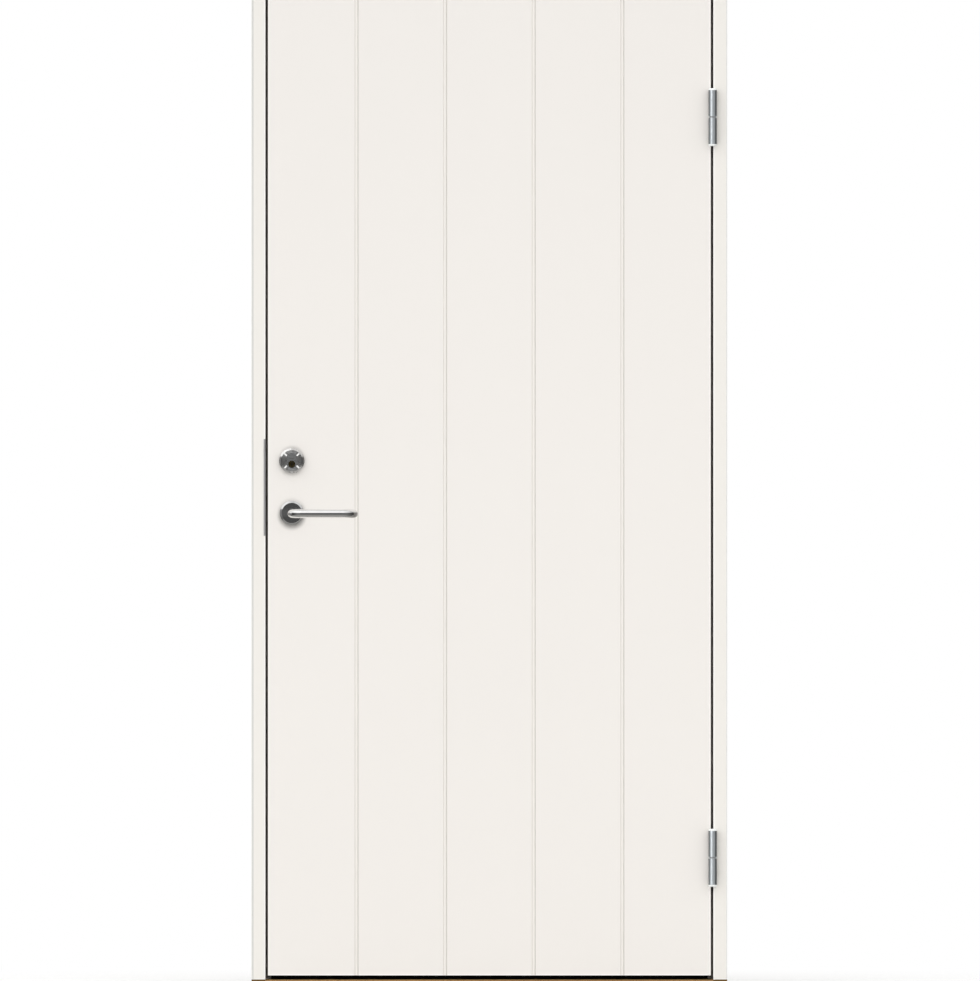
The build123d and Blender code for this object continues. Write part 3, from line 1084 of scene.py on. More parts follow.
        # A painted lighter reflection on the left part of the rosette's face.
        painted_pale_side = Band(
            (0.96, 0.96, 0.96),
            6.0 * MM,
            softness=10.0 * MM,
            centre=at.lock_axis - 17.5 * MM,
            level=at.lever_level,
            half_height=3.0 * MM,
            fade=9.0 * MM,
        )
        rosette_metal = PolishedMetal(
            (0.70, 0.70, 0.70),
            worn_tint=(0.66, 0.66, 0.66),
            smooth=0.11,
            worn=0.15,
            bump=0.02,
            bands=(painted_pale_side,),
        )
        return {Coat.LEVER_METAL: lever_metal, Coat.ROSETTE_METAL: rosette_metal}

    @staticmethod
    def cylinder_metals(at: Places) -> dict[Coat, Finish]:
        """Works out the metals of the lock cylinder: its ring, its body and its plug.

        Args:
            at: the places on the door.

        Returns:
            The finishes by coat.
        """
        # Painted reflections on the turned ring: a pale band up its middle, a white highlight at its upper
        # left and dark left and right sides.
        painted_pale_middle = Band(
            (0.97, 0.975, 0.98),
            6.5 * MM,
            softness=3.0 * MM,
            centre=at.lock_axis,
            level=at.cylinder_level,
            half_height=18.5 * MM,
            fade=3.0 * MM,
        )
        painted_highlight = Band(
            WHITE,
            9.5 * MM,
            softness=3.0 * MM,
            centre=at.lock_axis - 12.5 * MM,
            level=at.cylinder_level + 17.5 * MM,
            half_height=8.0 * MM,
            fade=3.0 * MM,
        )
        painted_dark_sides = Band(
            (0.28, 0.28, 0.28),
            2.6 * MM,
            softness=1.5 * MM,
            centre=at.lock_axis,
            middle=23.7 * MM,
            level=at.cylinder_level - 1.5 * MM,
            half_height=7.0 * MM,
            fade=6.0 * MM,
        )
        ring_metal = BrushedMetal(
            (0.76, 0.755, 0.75),
            line_tint=(0.70, 0.695, 0.69),
            stretch=(90.0, 60.0, 90.0),
            bump=0.01,
            spread=0.3,
            turned=0.8,
            bands=(painted_pale_middle, painted_highlight, painted_dark_sides),
        )
        body_metal = BrushedMetal(
            (0.86, 0.87, 0.88), line_tint=(0.74, 0.75, 0.76), stretch=(40.0, 60.0, 900.0)
        )
        plug_brass = BrushedMetal(
            (0.13, 0.10, 0.04), line_tint=(0.03, 0.02, 0.008), stretch=(300.0, 300.0, 300.0)
        )
        return {Coat.RING_METAL: ring_metal, Coat.BODY_METAL: body_metal, Coat.PLUG_BRASS: plug_brass}

    @staticmethod
    def matt_finishes() -> dict[Coat, Finish]:
        """Gives the rubbers, plastics and fibre board by coat."""
        cap_nylon = Grained((0.84, 0.86, 0.85), dust_tint=(0.74, 0.75, 0.74), dust=0.2)
        fibre = Grained((0.5, 0.4, 0.28), dust_tint=(0.36, 0.28, 0.18), grain_size=3.0 * MM, dust=0.4)
        return {
            Coat.SIDE_RUBBER: Grained((0.46, 0.44, 0.40), dust_tint=(0.36, 0.35, 0.32)),
            Coat.SILL_RUBBER: Grained((0.012, 0.011, 0.010), dust=0.03),
            # The slots are real; their white fill is a painted highlight for the glints they catch.
            Coat.SLOT_FILL: Grained((0.90, 0.90, 0.89), dust_tint=(0.82, 0.82, 0.80), dust=0.1),
            # Black that stands for shade, in the keyhole and round the plug.
            Coat.KEYWAY: Grained((0.008, 0.006, 0.004), dust=0.02),
            Coat.NYLON: Grained((0.62, 0.62, 0.60), dust=0.1),
            Coat.CAP_NYLON: cap_nylon,
            Coat.FIBRE: fibre,
        }


def around(segments: int) -> list[float]:
    """The angles of equal steps round a circle."""
    return [2 * math.pi * i / segments for i in range(segments)]


def arc(centre: Vector, radius: float, start: float, end: float, steps: int) -> list[Vector]:
    """Points on a level arc.

    Args:
        centre: the arc's centre.
        radius: its radius.
        start: its first angle, in degrees from +X.
        end: its last angle.
        steps: how many runs it is cut into.

    Returns:
        The points, ends included.
    """
    angles = [math.radians(start + (end - start) * i / steps) for i in range(steps + 1)]
    return [centre + radius * Vector((math.cos(a), math.sin(a), 0)) for a in angles]


def box_end(node: str, facing: Facing) -> Vector:
    """Finds one end of a CAD node's box.

    Args:
        node: the node.
        facing: which end.

    Returns:
        The middle of that end.
    """
    low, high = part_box(node)
    middle = box_middle(node)
    middle.y = low.y if facing is Facing.OUTSIDE else high.y
    return middle


def facing_place(centre: Vector, facing: Facing) -> Matrix:
    """Puts a turning axis, local Z, at a centre so that it points outside or inside."""
    return Matrix.Translation(centre) @ Matrix.Rotation(math.radians(-90 * facing.value), 4, "X")


def edge_place(centre: Vector, way: int) -> Matrix:
    """Puts a turning axis, local Z, at a centre so that it points along X, or against it at -1."""
    return Matrix.Translation(centre) @ Matrix.Rotation(math.radians(90 * way), 4, "Y")


class Shape:
    """A mesh under construction, in metres in the door's own frame."""

    SMOOTH_ANGLE = math.radians(32)

    def __init__(self) -> None:
        """Starts an empty mesh."""
        self.bm = bmesh.new()

    def ring(self, points: list[Vector]) -> Loop:
        """Adds a loop of corners."""
        return [self.bm.verts.new(p) for p in points]

    def bridge(self, loops: list[Loop]) -> None:
        """Joins each loop to the next by a band of faces; a loop of one corner is a point.

        Args:
            loops: the loops in order, all with as many corners, or with one.
        """
        for first, second in zip(loops, loops[1:]):
            count = max(len(first), len(second))
            for i in range(count):
                pairs = ((first, i), (first, i + 1), (second, i + 1), (second, i))
                corners = [loop[k % count % len(loop)] for loop, k in pairs]
                self.bm.faces.new(list(dict.fromkeys(corners)))

    def turned(
        self, profile: list[Point], place: Matrix, segments: int = 64, closed: bool = False
    ) -> "Shape":
        """Adds a form turned on a lathe.

        Args:
            profile: radius and height pairs; a radius of 0 is a point on the axis.
            place: puts the turning axis, local Z, in the door's frame.
            segments: faces round the axis.
            closed: whether the last pair joins the first, as in a ring.

        Returns:
            The shape itself.
        """
        loops = []
        for radius, height in profile:
            angles = around(segments) if radius > 0 else [0.0]
            flat = [(radius * math.cos(a), radius * math.sin(a)) for a in angles]
            loops.append(self.ring([place @ Vector((u, v, height)) for u, v in flat]))
        self.bridge(loops + loops[:1] if closed else loops)
        return self

    def prism(self, outline: list[Point], place: Matrix, length: float) -> "Shape":
        """Adds a bar with straight sides.

        Args:
            outline: the corners of its section.
            place: puts the section, local XY, in the door's frame.
            length: how far it runs along local Z.

        Returns:
            The shape itself.
        """
        ends = [self.ring([place @ Vector((u, v, w)) for u, v in outline]) for w in (0.0, length)]
        self.bridge(ends)
        for end in ends:
            self.bm.faces.new(end)
        return self

    def tube(self, path: Path, segments: int) -> "Shape":
        """Adds a round bar along a path that is nearly level.

        Args:
            path: the path's points, each with the bar's radius there.
            segments: faces round the bar.

        Returns:
            The shape itself.
        """
        up = Vector((0, 0, 1))
        points = [point for point, _ in path]
        loops = []
        for i, (point, radius) in enumerate(path):
            before, after = points[max(i - 1, 0)], points[min(i + 1, len(points) - 1)]
            side = (after - before).normalized().cross(up)
            ways = [math.cos(a) * side + math.sin(a) * up for a in around(segments)]
            loops.append(self.ring([point + radius * way for way in ways]))
        self.bridge(loops)
        for end in (loops[0], loops[-1]):
            self.bm.faces.new(end)
        return self

    def softened(self, width: float, segments: int = 2) -> "Shape":
        """Rounds every sharp edge.

        Args:
            width: how much of each side is taken off.
            segments: steps across the round.

        Returns:
            The shape itself.
        """
        bmesh.ops.recalc_face_normals(self.bm, faces=self.bm.faces)
        edges = [e for e in self.bm.edges if e.is_manifold]
        sharp = [e for e in edges if e.calc_face_angle(0.0) > self.SMOOTH_ANGLE]
        bmesh.ops.bevel(
            self.bm, geom=sharp, offset=width, segments=segments, profile=0.5, affect="EDGES"
        )
        return self

    def mesh(self, name: str) -> bpy.types.Mesh:
        """Closes the work and makes the mesh.

        Args:
            name: the mesh's name.

        Returns:
            The mesh, shaded smooth apart from its sharp edges.
        """
        bmesh.ops.recalc_face_normals(self.bm, faces=self.bm.faces)
        mesh = bpy.data.meshes.new(name)
        self.bm.to_mesh(mesh)
        self.bm.free()
        mesh.polygons.foreach_set("use_smooth", [True] * len(mesh.polygons))
        mesh.set_sharp_from_angle(angle=self.SMOOTH_ANGLE)
        return mesh


@dataclass
class Screw:
    """A screw head with a hexagonal socket, as one closed form."""

    head_radius: float = 4.2 * MM
    edge_fall: float = 0.25 * MM
    crown: float = 0.35 * MM
    seat: float = 0.4 * MM
    socket_radius: float = 2.0 * MM
    socket_depth: float = 1.6 * MM
    segments: int = 36

    def outline(self, radius: float, hexagon: bool) -> list[Point]:
        """One loop of the head, seen from above.

        Args:
            radius: the loop's radius, to its corners.
            hexagon: whether it is six-sided instead of round.

        Returns:
            The loop's corners.
        """
        side = math.pi / 3
        corners = []
        for angle in around(self.segments):
            off = angle % side - side / 2
            reach = radius * math.cos(side / 2) / math.cos(off) if hexagon else radius
            corners.append((reach * math.cos(angle), reach * math.sin(angle)))
        return corners

    def cut(self, shape: Shape, place: Matrix) -> None:
        """Adds a head to a shape.

        Args:
            shape: the shape that takes the head.
            place: the middle of the head's seat, with local Z out of the surface.
        """
        floor = self.crown - self.socket_depth
        bottom = min(-self.seat, floor) - self.seat
        rim = self.outline(self.head_radius, hexagon=False)
        brow = self.outline(self.head_radius - 2 * self.edge_fall, hexagon=False)
        socket = self.outline(self.socket_radius, hexagon=True)
        axis = [(0.0, 0.0)]
        steps = (
            (axis, bottom),
            (rim, -self.seat),
            (rim, self.crown - self.edge_fall),
            (brow, self.crown),
            (socket, self.crown),
            (socket, floor),
            (axis, floor),
        )
        shape.bridge([shape.ring([place @ Vector((u, v, w)) for u, v in flat]) for flat, w in steps])


@dataclass
class Assembly:
    """A sub-assembly of the door, with the finishes for its pieces."""

    palette: Palette

    def piece(
        self, shape: Shape, name: str, coat: Coat, slot: Slot, body: Body, *nodes: str
    ) -> bpy.types.Object:
        """Makes a shape into a dressed piece.

        Args:
            shape: the piece's shape.
            name: its name.
            coat: its finish.
            slot: the record's material slot.
            body: the body it rides on.
            nodes: CAD nodes that it stands for.

        Returns:
            The piece.
        """
        mesh = shape.mesh(name)
        mesh.materials.append(self.palette.material(coat))
        made = bpy.data.objects.new(name, mesh)
        bpy.context.scene.collection.objects.link(made)
        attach(made, body.value)
        if nodes:
            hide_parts(*nodes)
        LOG.info("%s: %d faces on %s", name, len(mesh.polygons), body.value)
        return made


@dataclass
class CadFinishes(Assembly):
    """Finishes of the CAD nodes that show as they are."""

    coats: dict[Slot, Coat] = field(
        default_factory=lambda: {
            Slot.FRAME_PAINT: Coat.FRAME_PAINT,
            Slot.LEAF_PAINT: Coat.LEAF_PAINT,
            Slot.OAK: Coat.OAK,
            Slot.SEAL_RUBBER: Coat.SIDE_RUBBER,
            Slot.HINGE_STEEL: Coat.HINGE_STEEL,
            Slot.LOCK_STEEL: Coat.LOCK_STEEL,
            Slot.HANDLE_METAL: Coat.RING_METAL,
            Slot.PLUG_BRASS: Coat.PLUG_BRASS,
            Slot.FIBRE_CORE: Coat.FIBRE,
        }
    )
    special: dict[str, Coat] = field(
        default_factory=lambda: {
            "cylinder_body": Coat.BODY_METAL,
            "latch_bolt": Coat.SCREW_STEEL,
            "dead_bolt": Coat.SCREW_STEEL,
        }
    )

    def dress(self, frame: dict) -> None:
        """Gives every node its finish.
        """
        for part in frame["record"]["subparts"]:
            node = frame["nodes"][part["node"]]
            coat = self.special.get(part["node"], self.coats[Slot(part["material_slot"])])
            node.data.materials.clear()
            node.data.materials.append(self.palette.material(coat))
            LOG.info("%s: %s", part["node"], part["material_slot"])


@dataclass
class LeverSet(Assembly):
    """The bent levers and their rosettes on both sides of the leaf."""

    bar_radius: float = 9.2 * MM
    bar_drop: float = 1.4 * MM
    bar_segments: int = 48
    neck_radius: float = 9.6 * MM
    neck_length: float = 22.0 * MM
    neck_taper: float = 5.0 * MM
    neck_dip: float = 0.4
    neck_standoff: float = 0.5 * MM
    bend_radius: float = 20.0 * MM
    bend_steps: int = 16
    tip_return: float = 20.0 * MM
    tip_round: float = 4.0 * MM
    tip_steps: int = 6
    grub_share: float = 0.75
    grub: Screw = field(
        default_factory=lambda: Screw(
            head_radius=2.0 * MM,
            edge_fall=0.1 * MM,
            crown=0.1 * MM,
            seat=0.5 * MM,
            socket_radius=1.2 * MM,
            socket_depth=1.0 * MM,
            segments=24,
        )
    )
    rosette_bevel: float = 4.0 * MM
    rosette_fall: float = 3.0 * MM
    rosette_segments: int = 96
    bore_clear: float = 0.06 * MM

    def path(self, facing: Facing) -> Path:
        """Works out a lever's path: a neck, a bar along the leaf and a tip that returns to it.

        Args:
            facing: which way the lever looks.

        Returns:
            The path's points, each with the bar's radius there.
        """
        node = f"{facing.side}_lever"
        low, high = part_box(node)
        out = facing.value
        front, root = box_end(node, facing).y, box_end(node, facing.back).y
        level = (low.z + high.z) / 2
        x_neck = low.x + self.neck_radius
        x_tip = high.x - self.bar_radius
        turn = front - out * (self.bar_radius + self.bend_radius)
        tip = root + out * (self.tip_return - self.neck_standoff)
        neck = (
            (0.0, self.neck_radius, 0.0),
            (self.neck_length - self.neck_taper, self.neck_radius, 0.0),
            (self.neck_length, self.bar_radius, self.neck_dip * self.bar_drop),
        )
        path = [(Vector((x_neck, root + out * far, level - dip)), radius) for far, radius, dip in neck]
        level -= self.bar_drop
        for x, start, end in ((x_neck + self.bend_radius, 180, 90), (x_tip - self.bend_radius, 90, 0)):
            centre = Vector((x, turn, level))
            bend = arc(centre, self.bend_radius, out * start, out * end, self.bend_steps)
            path += [(point, self.bar_radius) for point in bend]
        for step in range(self.tip_steps + 1):
            angle = math.pi / 2 * step / self.tip_steps
            y = tip + out * self.tip_round * (1 - math.sin(angle))
            radius = self.bar_radius - self.tip_round * (1 - math.cos(angle))
            path.append((Vector((x_tip, y, level)), radius))
        return path

    def lever(self, facing: Facing) -> bpy.types.Object:
        """Builds one lever, which casts no shadow on the leaf, as in the photograph.

        Args:
            facing: which way it looks.

        Returns:
            The lever.
        """
        node = f"{facing.side}_lever"
        shape = Shape().tube(self.path(facing), self.bar_segments)
        bent = self.piece(shape, node + "_bar", Coat.LEVER_METAL, Slot.HANDLE_METAL, Body.HANDLE, node)
        bent.visible_shadow = False
        bent.visible_diffuse = False
        return bent

    def grub_screw(self, facing: Facing) -> bpy.types.Object:
        """Builds the small socket screw under a lever's neck.

        Args:
            facing: which way the lever looks.

        Returns:
            The screw.
        """
        node = f"{facing.side}_lever"
        at = box_end(node, facing.back)
        at.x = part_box(node)[0].x + self.neck_radius
        at.y += facing.value * self.grub_share * self.neck_length
        at.z -= self.neck_radius
        shape = Shape()
        self.grub.cut(shape, Matrix.Translation(at) @ Matrix.Rotation(math.pi, 4, "X"))
        name = f"{facing.side}_grub_screw"
        return self.piece(shape, name, Coat.SCREW_STEEL, Slot.HANDLE_METAL, Body.HANDLE)

    def rosette(self, node: str, facing: Facing, bore: float) -> bpy.types.Object:
        """Builds a bevelled rosette.

        Args:
            node: the CAD node it stands for.
            facing: which way it looks.
            bore: the radius of its hole, or 0.

        Returns:
            The rosette.
        """
        low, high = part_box(node)
        radius = (high.x - low.x) / 2
        height = high.y - low.y
        rim = [
            (radius, 0.0),
            (radius, height - self.rosette_fall),
            (radius - self.rosette_bevel, height),
        ]
        profile = [*rim, (bore, height), (bore, 0.0)] if bore else [(0.0, 0.0), *rim, (0.0, height)]
        place = facing_place(box_end(node, facing.back), facing)
        shape = Shape().turned(profile, place, self.rosette_segments, closed=bore > 0)
        return self.piece(
            shape, node + "_cover", Coat.ROSETTE_METAL, Slot.HANDLE_METAL, Body.LEAF, node
        )

    def build(self) -> None:
        """Builds both sides."""
        for facing in Facing:
            self.lever(facing)
            self.grub_screw(facing)
            self.rosette(f"{facing.side}_rosette", facing, self.neck_radius + self.bore_clear)
        self.rosette("thumb_turn_rosette", Facing.INSIDE, 0.0)


@dataclass
class KeyCylinder(Assembly):
    """The lock cylinder outside: white fills in the ring's four slots, painted highlights for their glints;
    a black ring for the shade round the plug; and the plug.
    """

    slot_count: int = 4
    slot_turn: float = 45.0
    slot_centre: float = 18.0 * MM
    slot_length: float = 7.4 * MM
    slot_width: float = 3.1 * MM
    slot_depth: float = 0.98 * MM
    slot_proud: float = 0.1 * MM
    slot_round: float = 0.15 * MM
    gap_clear: float = 0.1 * MM
    gap_width: float = 0.9 * MM
    gap_proud: float = 0.2 * MM
    rim_round: float = 0.5 * MM
    rim_width: float = 0.7 * MM
    dish_slope: float = 0.6 * MM
    dish_depth: float = 0.5 * MM
    keyhole: Point = (2.6 * MM, 9.0 * MM)
    keyhole_wave: float = 0.35
    keyhole_depth: float = 1.0 * MM
    keyhole_proud: float = 0.05 * MM

    @staticmethod
    def plug_radius() -> float:
        """The radius of the plug."""
        low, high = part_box("key_plug")
        return (high.x - low.x) / 2

    def slots(self) -> bpy.types.Object:
        """Builds the white fill in each slot, a painted highlight that stands for the glints the slots
        catch.

        Returns:
            The fills, as one piece.
        """
        place = facing_place(box_end("cylinder_ring", Facing.OUTSIDE), Facing.OUTSIDE)
        seat = Matrix.Translation((self.slot_centre, 0, -self.slot_depth))
        half, long = self.slot_width / 2, self.slot_length / 2
        outline = [(-long, -half), (long, -half), (long, half), (-long, half)]
        shape = Shape()
        for i in range(self.slot_count):
            turn = Matrix.Rotation(math.radians(self.slot_turn + 360 / self.slot_count * i), 4, "Z")
            shape.prism(outline, place @ turn @ seat, self.slot_depth + self.slot_proud)
        shape.softened(self.slot_round)
        return self.piece(shape, "cylinder_ring_slots", Coat.SLOT_FILL, Slot.HANDLE_METAL, Body.LEAF)

    def shade_ring(self) -> bpy.types.Object:
        """Builds the black ring round the plug, which stands for the shade in the gap there.

        Returns:
            The ring.
        """
        centre = box_end("key_plug", Facing.OUTSIDE)
        centre.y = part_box("cylinder_body")[0].y
        inner = self.plug_radius() + self.gap_clear
        outer, height = inner + self.gap_width, self.gap_proud
        profile = [
            (inner, -height),
            (inner, height),
            (outer - height, height),
            (outer, 0.0),
            (outer, -height),
        ]
        shape = Shape().turned(profile, facing_place(centre, Facing.OUTSIDE), closed=True)
        return self.piece(shape, "cylinder_shade_ring", Coat.KEYWAY, Slot.HANDLE_METAL, Body.LEAF)

    def plug(self) -> bpy.types.Object:
        """Builds the dished plug.

        Returns:
            The plug.
        """
        low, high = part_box("key_plug")
        radius, length = self.plug_radius(), high.y - low.y
        rim = radius - self.rim_round
        brink = rim - self.rim_width
        dish = length - self.dish_depth
        profile = [
            (0.0, 0.0),
            (radius, 0.0),
            (radius, length - self.rim_round),
            (rim, length),
            (brink, length),
            (brink - self.dish_slope, dish),
            (0.0, dish),
        ]
        shape = Shape().turned(profile, facing_place(box_end("key_plug", Facing.INSIDE), Facing.OUTSIDE))
        return self.piece(shape, "key_plug_face", Coat.PLUG_BRASS, Slot.PLUG_BRASS, Body.PLUG, "key_plug")

    def keyway(self) -> bpy.types.Object:
        """Builds the keyhole in the plug's dish as a black prism, which stands for the shade in the hole.

        Returns:
            The keyhole.
        """
        centre = box_end("key_plug", Facing.OUTSIDE)
        centre.y += self.dish_depth
        seat = Matrix.Translation((0, 0, -self.keyhole_depth))
        u, v = (size / 2 for size in self.keyhole)
        waist = u - self.keyhole_wave * u
        half = [(u, -v), (waist, -v / 3), (u, v / 3), (u, v)]
        outline = [(-u, -v), *half, (-u, v), (-waist, v / 3), (-u, -v / 3)]
        place = facing_place(centre, Facing.OUTSIDE) @ seat
        shape = Shape().prism(outline, place, self.keyhole_depth + self.keyhole_proud)
        return self.piece(shape, "key_plug_keyway", Coat.KEYWAY, Slot.PLUG_BRASS, Body.PLUG)

    def build(self) -> None:
        """Builds the cylinder's pieces."""
        self.slots()
        self.shade_ring()
        self.plug()
        self.keyway()


@dataclass
class Hinges(Assembly):
    """Caps, washers and screws of the two lift-off hinges."""

    barrel_radius: float = 8.8 * MM
    pin_radius: float = 5.0 * MM
    pin_clear: float = 0.1 * MM
    cap_height: float = 0.7 * MM
    cap_wall: float = 0.12 * MM
    cap_skirt: float = 3.4 * MM
    cap_round: float = 1.6 * MM
    cap_chamfer: float = 0.3
    cap_shoulder: float = 0.6
    cap_flat: float = 0.5
    washer_inset: float = 0.7 * MM
    washer_height: float = 0.36 * MM
    segments: int = 48
    screw_pitch: float = 27.0 * MM
    screw_count: int = 4
    screw_stagger: float = 5.0 * MM
    plate_depth: float = 30.0 * MM
    screw: Screw = field(default_factory=Screw)

    def cap_profile(self) -> list[Point]:
        """Half of an end cap's section, with the barrel's end at height 0.

        Returns:
            Radius and height pairs.
        """
        radius, chamfer = self.barrel_radius + self.cap_wall, self.cap_chamfer * self.cap_round
        return [
            (0.0, -self.cap_skirt),
            (radius, -self.cap_skirt),
            (radius, -self.cap_round),
            (radius - chamfer, -chamfer),
            (radius - self.cap_round, self.cap_shoulder * self.cap_height),
            (self.cap_flat * radius, self.cap_height),
            (0.0, self.cap_height),
        ]

    def half(self, hinge: Hinge, body: Body) -> tuple[Vector, Vector]:
        """The box of a hinge's half, on the leaf or on the frame."""
        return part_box(f"{hinge.value}_hinge_{body.value}_half")

    def caps(self, hinge: Hinge) -> None:
        """Builds the crowned end caps of one hinge.

        Args:
            hinge: which hinge.
        """
        x = self.half(hinge, Body.LEAF)[0].x + self.barrel_radius
        for body, turn in ((Body.LEAF, 0.0), (Body.FRAME, math.pi)):
            low, high = self.half(hinge, body)
            end = high.z if body is Body.LEAF else low.z
            axis = Vector((x, low.y + self.barrel_radius, end))
            place = Matrix.Translation(axis) @ Matrix.Rotation(turn, 4, "X")
            shape = Shape().turned(self.cap_profile(), place, self.segments)
            name = f"{hinge.value}_hinge_{body.value}_cap"
            self.piece(shape, name, Coat.CAP_NYLON, Slot.HINGE_STEEL, body)

    def washer(self, hinge: Hinge) -> bpy.types.Object:
        """Builds the thin washer between the two halves of a hinge.

        Args:
            hinge: which hinge.

        Returns:
            The washer.
        """
        low, high = self.half(hinge, Body.LEAF)
        foot = (low.z + high.z - self.washer_height) / 2
        axis = Vector((low.x + self.barrel_radius, low.y + self.barrel_radius, foot))
        outer, inner = self.barrel_radius - self.washer_inset, self.pin_radius + self.pin_clear
        profile = [(inner, 0.0), (outer, 0.0), (outer, self.washer_height), (inner, self.washer_height)]
        shape = Shape().turned(profile, Matrix.Translation(axis), self.segments, closed=True)
        name = f"{hinge.value}_hinge_washer"
        return self.piece(shape, name, Coat.NYLON, Slot.HINGE_STEEL, Body.FRAME)

    def screws(self, hinge: Hinge) -> None:
        """Builds the screws in both plates of a hinge.

        Args:
            hinge: which hinge.
        """
        leaf_edge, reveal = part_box("outer_panel")[1].x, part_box("head_jamb")[1].x
        for body, way, x in ((Body.LEAF, 1, leaf_edge), (Body.FRAME, -1, reveal)):
            low, high = self.half(hinge, body)
            shape = Shape()
            for i in range(self.screw_count):
                lift = (i - (self.screw_count - 1) / 2) * self.screw_pitch
                stagger = self.screw_stagger * (1 if i % 2 else -1)
                y = high.y - self.plate_depth / 2 + stagger
                self.screw.cut(shape, edge_place(Vector((x, y, (low.z + high.z) / 2 + lift)), way))
            name = f"{hinge.value}_hinge_{body.value}_screws"
            self.piece(shape, name, Coat.SCREW_STEEL, Slot.HINGE_STEEL, body)

    def build(self) -> None:
        """Builds both hinges."""
        for hinge in Hinge:
            self.caps(hinge)
            self.washer(hinge)
            self.screws(hinge)


@dataclass
class LockPlates(Assembly):
    """Screws of the lock's edge plate and of the strike plate."""

    edge_inset: float = 11.0 * MM
    bevel_angle: float = 3.0
    strike_inset: float = 14.0 * MM
    strike_setback: float = 2.0 * MM
    strike_drop: float = 52.0 * MM
    screw: Screw = field(default_factory=Screw)

    def edge_screws(self) -> bpy.types.Object:
        """Builds the two screws of the leaf's edge plate.

        Returns:
            The screws, as one piece.
        """
        low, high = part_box("lock_edge_plate")
        bevel = math.radians(self.bevel_angle)
        y = (low.y + high.y) / 2
        x = low.x + math.tan(bevel) * (y - low.y)
        tilt = Matrix.Rotation(-bevel, 4, "Z") @ edge_place(Vector(), -1)
        shape = Shape()
        for z in (low.z + self.edge_inset, high.z - self.edge_inset):
            self.screw.cut(shape, Matrix.Translation((x, y, z)) @ tilt)
        return self.piece(shape, "lock_edge_screws", Coat.SCREW_STEEL, Slot.LOCK_STEEL, Body.LEAF)

    def strike_screws(self) -> bpy.types.Object:
        """Builds the screws of the strike plate.

        Returns:
            The screws, as one piece.
        """
        low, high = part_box("strike_plate")
        middle = box_middle("strike_plate")
        heights = (
            low.z + self.strike_inset,
            high.z - self.strike_inset,
            middle.z - self.strike_drop,
        )
        shape = Shape()
        for z in heights:
            self.screw.cut(shape, edge_place(Vector((high.x, middle.y + self.strike_setback, z)), 1))
        return self.piece(shape, "strike_screws", Coat.SCREW_STEEL, Slot.LOCK_STEEL, Body.FRAME)

    def build(self) -> None:
        """Builds the screws."""
        self.edge_screws()
        self.strike_screws()


@dataclass
class FrameScrews(Assembly):
    """Pale cover caps in the frame-screw holes of both jambs."""

    radius: float = 6.9 * MM
    recess: float = 0.6 * MM
    depth: float = 4.0 * MM
    rim_round: float = 0.4 * MM
    brow_share: float = 0.45
    brow_rise: float = 0.25 * MM
    crown_rise: float = 0.3 * MM
    segments: int = 40

    def caps(self, jamb: Jamb, heights: list[float]) -> bpy.types.Object:
        """Builds one jamb's caps.

        Args:
            jamb: which jamb.
            heights: where the holes are.

        Returns:
            The caps, as one piece.
        """
        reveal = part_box("head_jamb")[1].x * -jamb.way
        front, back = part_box("outer_panel")[0].y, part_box(f"{jamb.value}_side_seal")[1].y
        top = -self.recess
        profile = [
            (0.0, top - self.depth),
            (self.radius, top - self.depth),
            (self.radius, top - self.rim_round),
            (self.radius - self.rim_round, top),
            (self.brow_share * self.radius, top + self.brow_rise),
            (0.0, top + self.crown_rise),
        ]
        shape = Shape()
        for z in heights:
            place = edge_place(Vector((reveal, (front + back) / 2, z)), jamb.way)
            shape.turned(profile, place, self.segments)
        name = f"{jamb.value}_jamb_screw_caps"
        return self.piece(shape, name, Coat.NYLON, Slot.FRAME_PAINT, Body.FRAME)

    def build(self, mounts: list[dict]) -> None:
        """Builds the caps of both jambs.

        Args:
            mounts: the record's mounts, which give the holes' spacings.
        """
        for jamb in Jamb:
            heights = []
            for mount in mounts:
                if mount["kind"] == "bolt_pattern" and mount["name"].startswith(jamb.value):
                    half = mount["dims"]["spacing_y_mm"] * MM / 2
                    heights += [mount["pos_m"][2] - half, mount["pos_m"][2] + half]
            self.caps(jamb, heights)


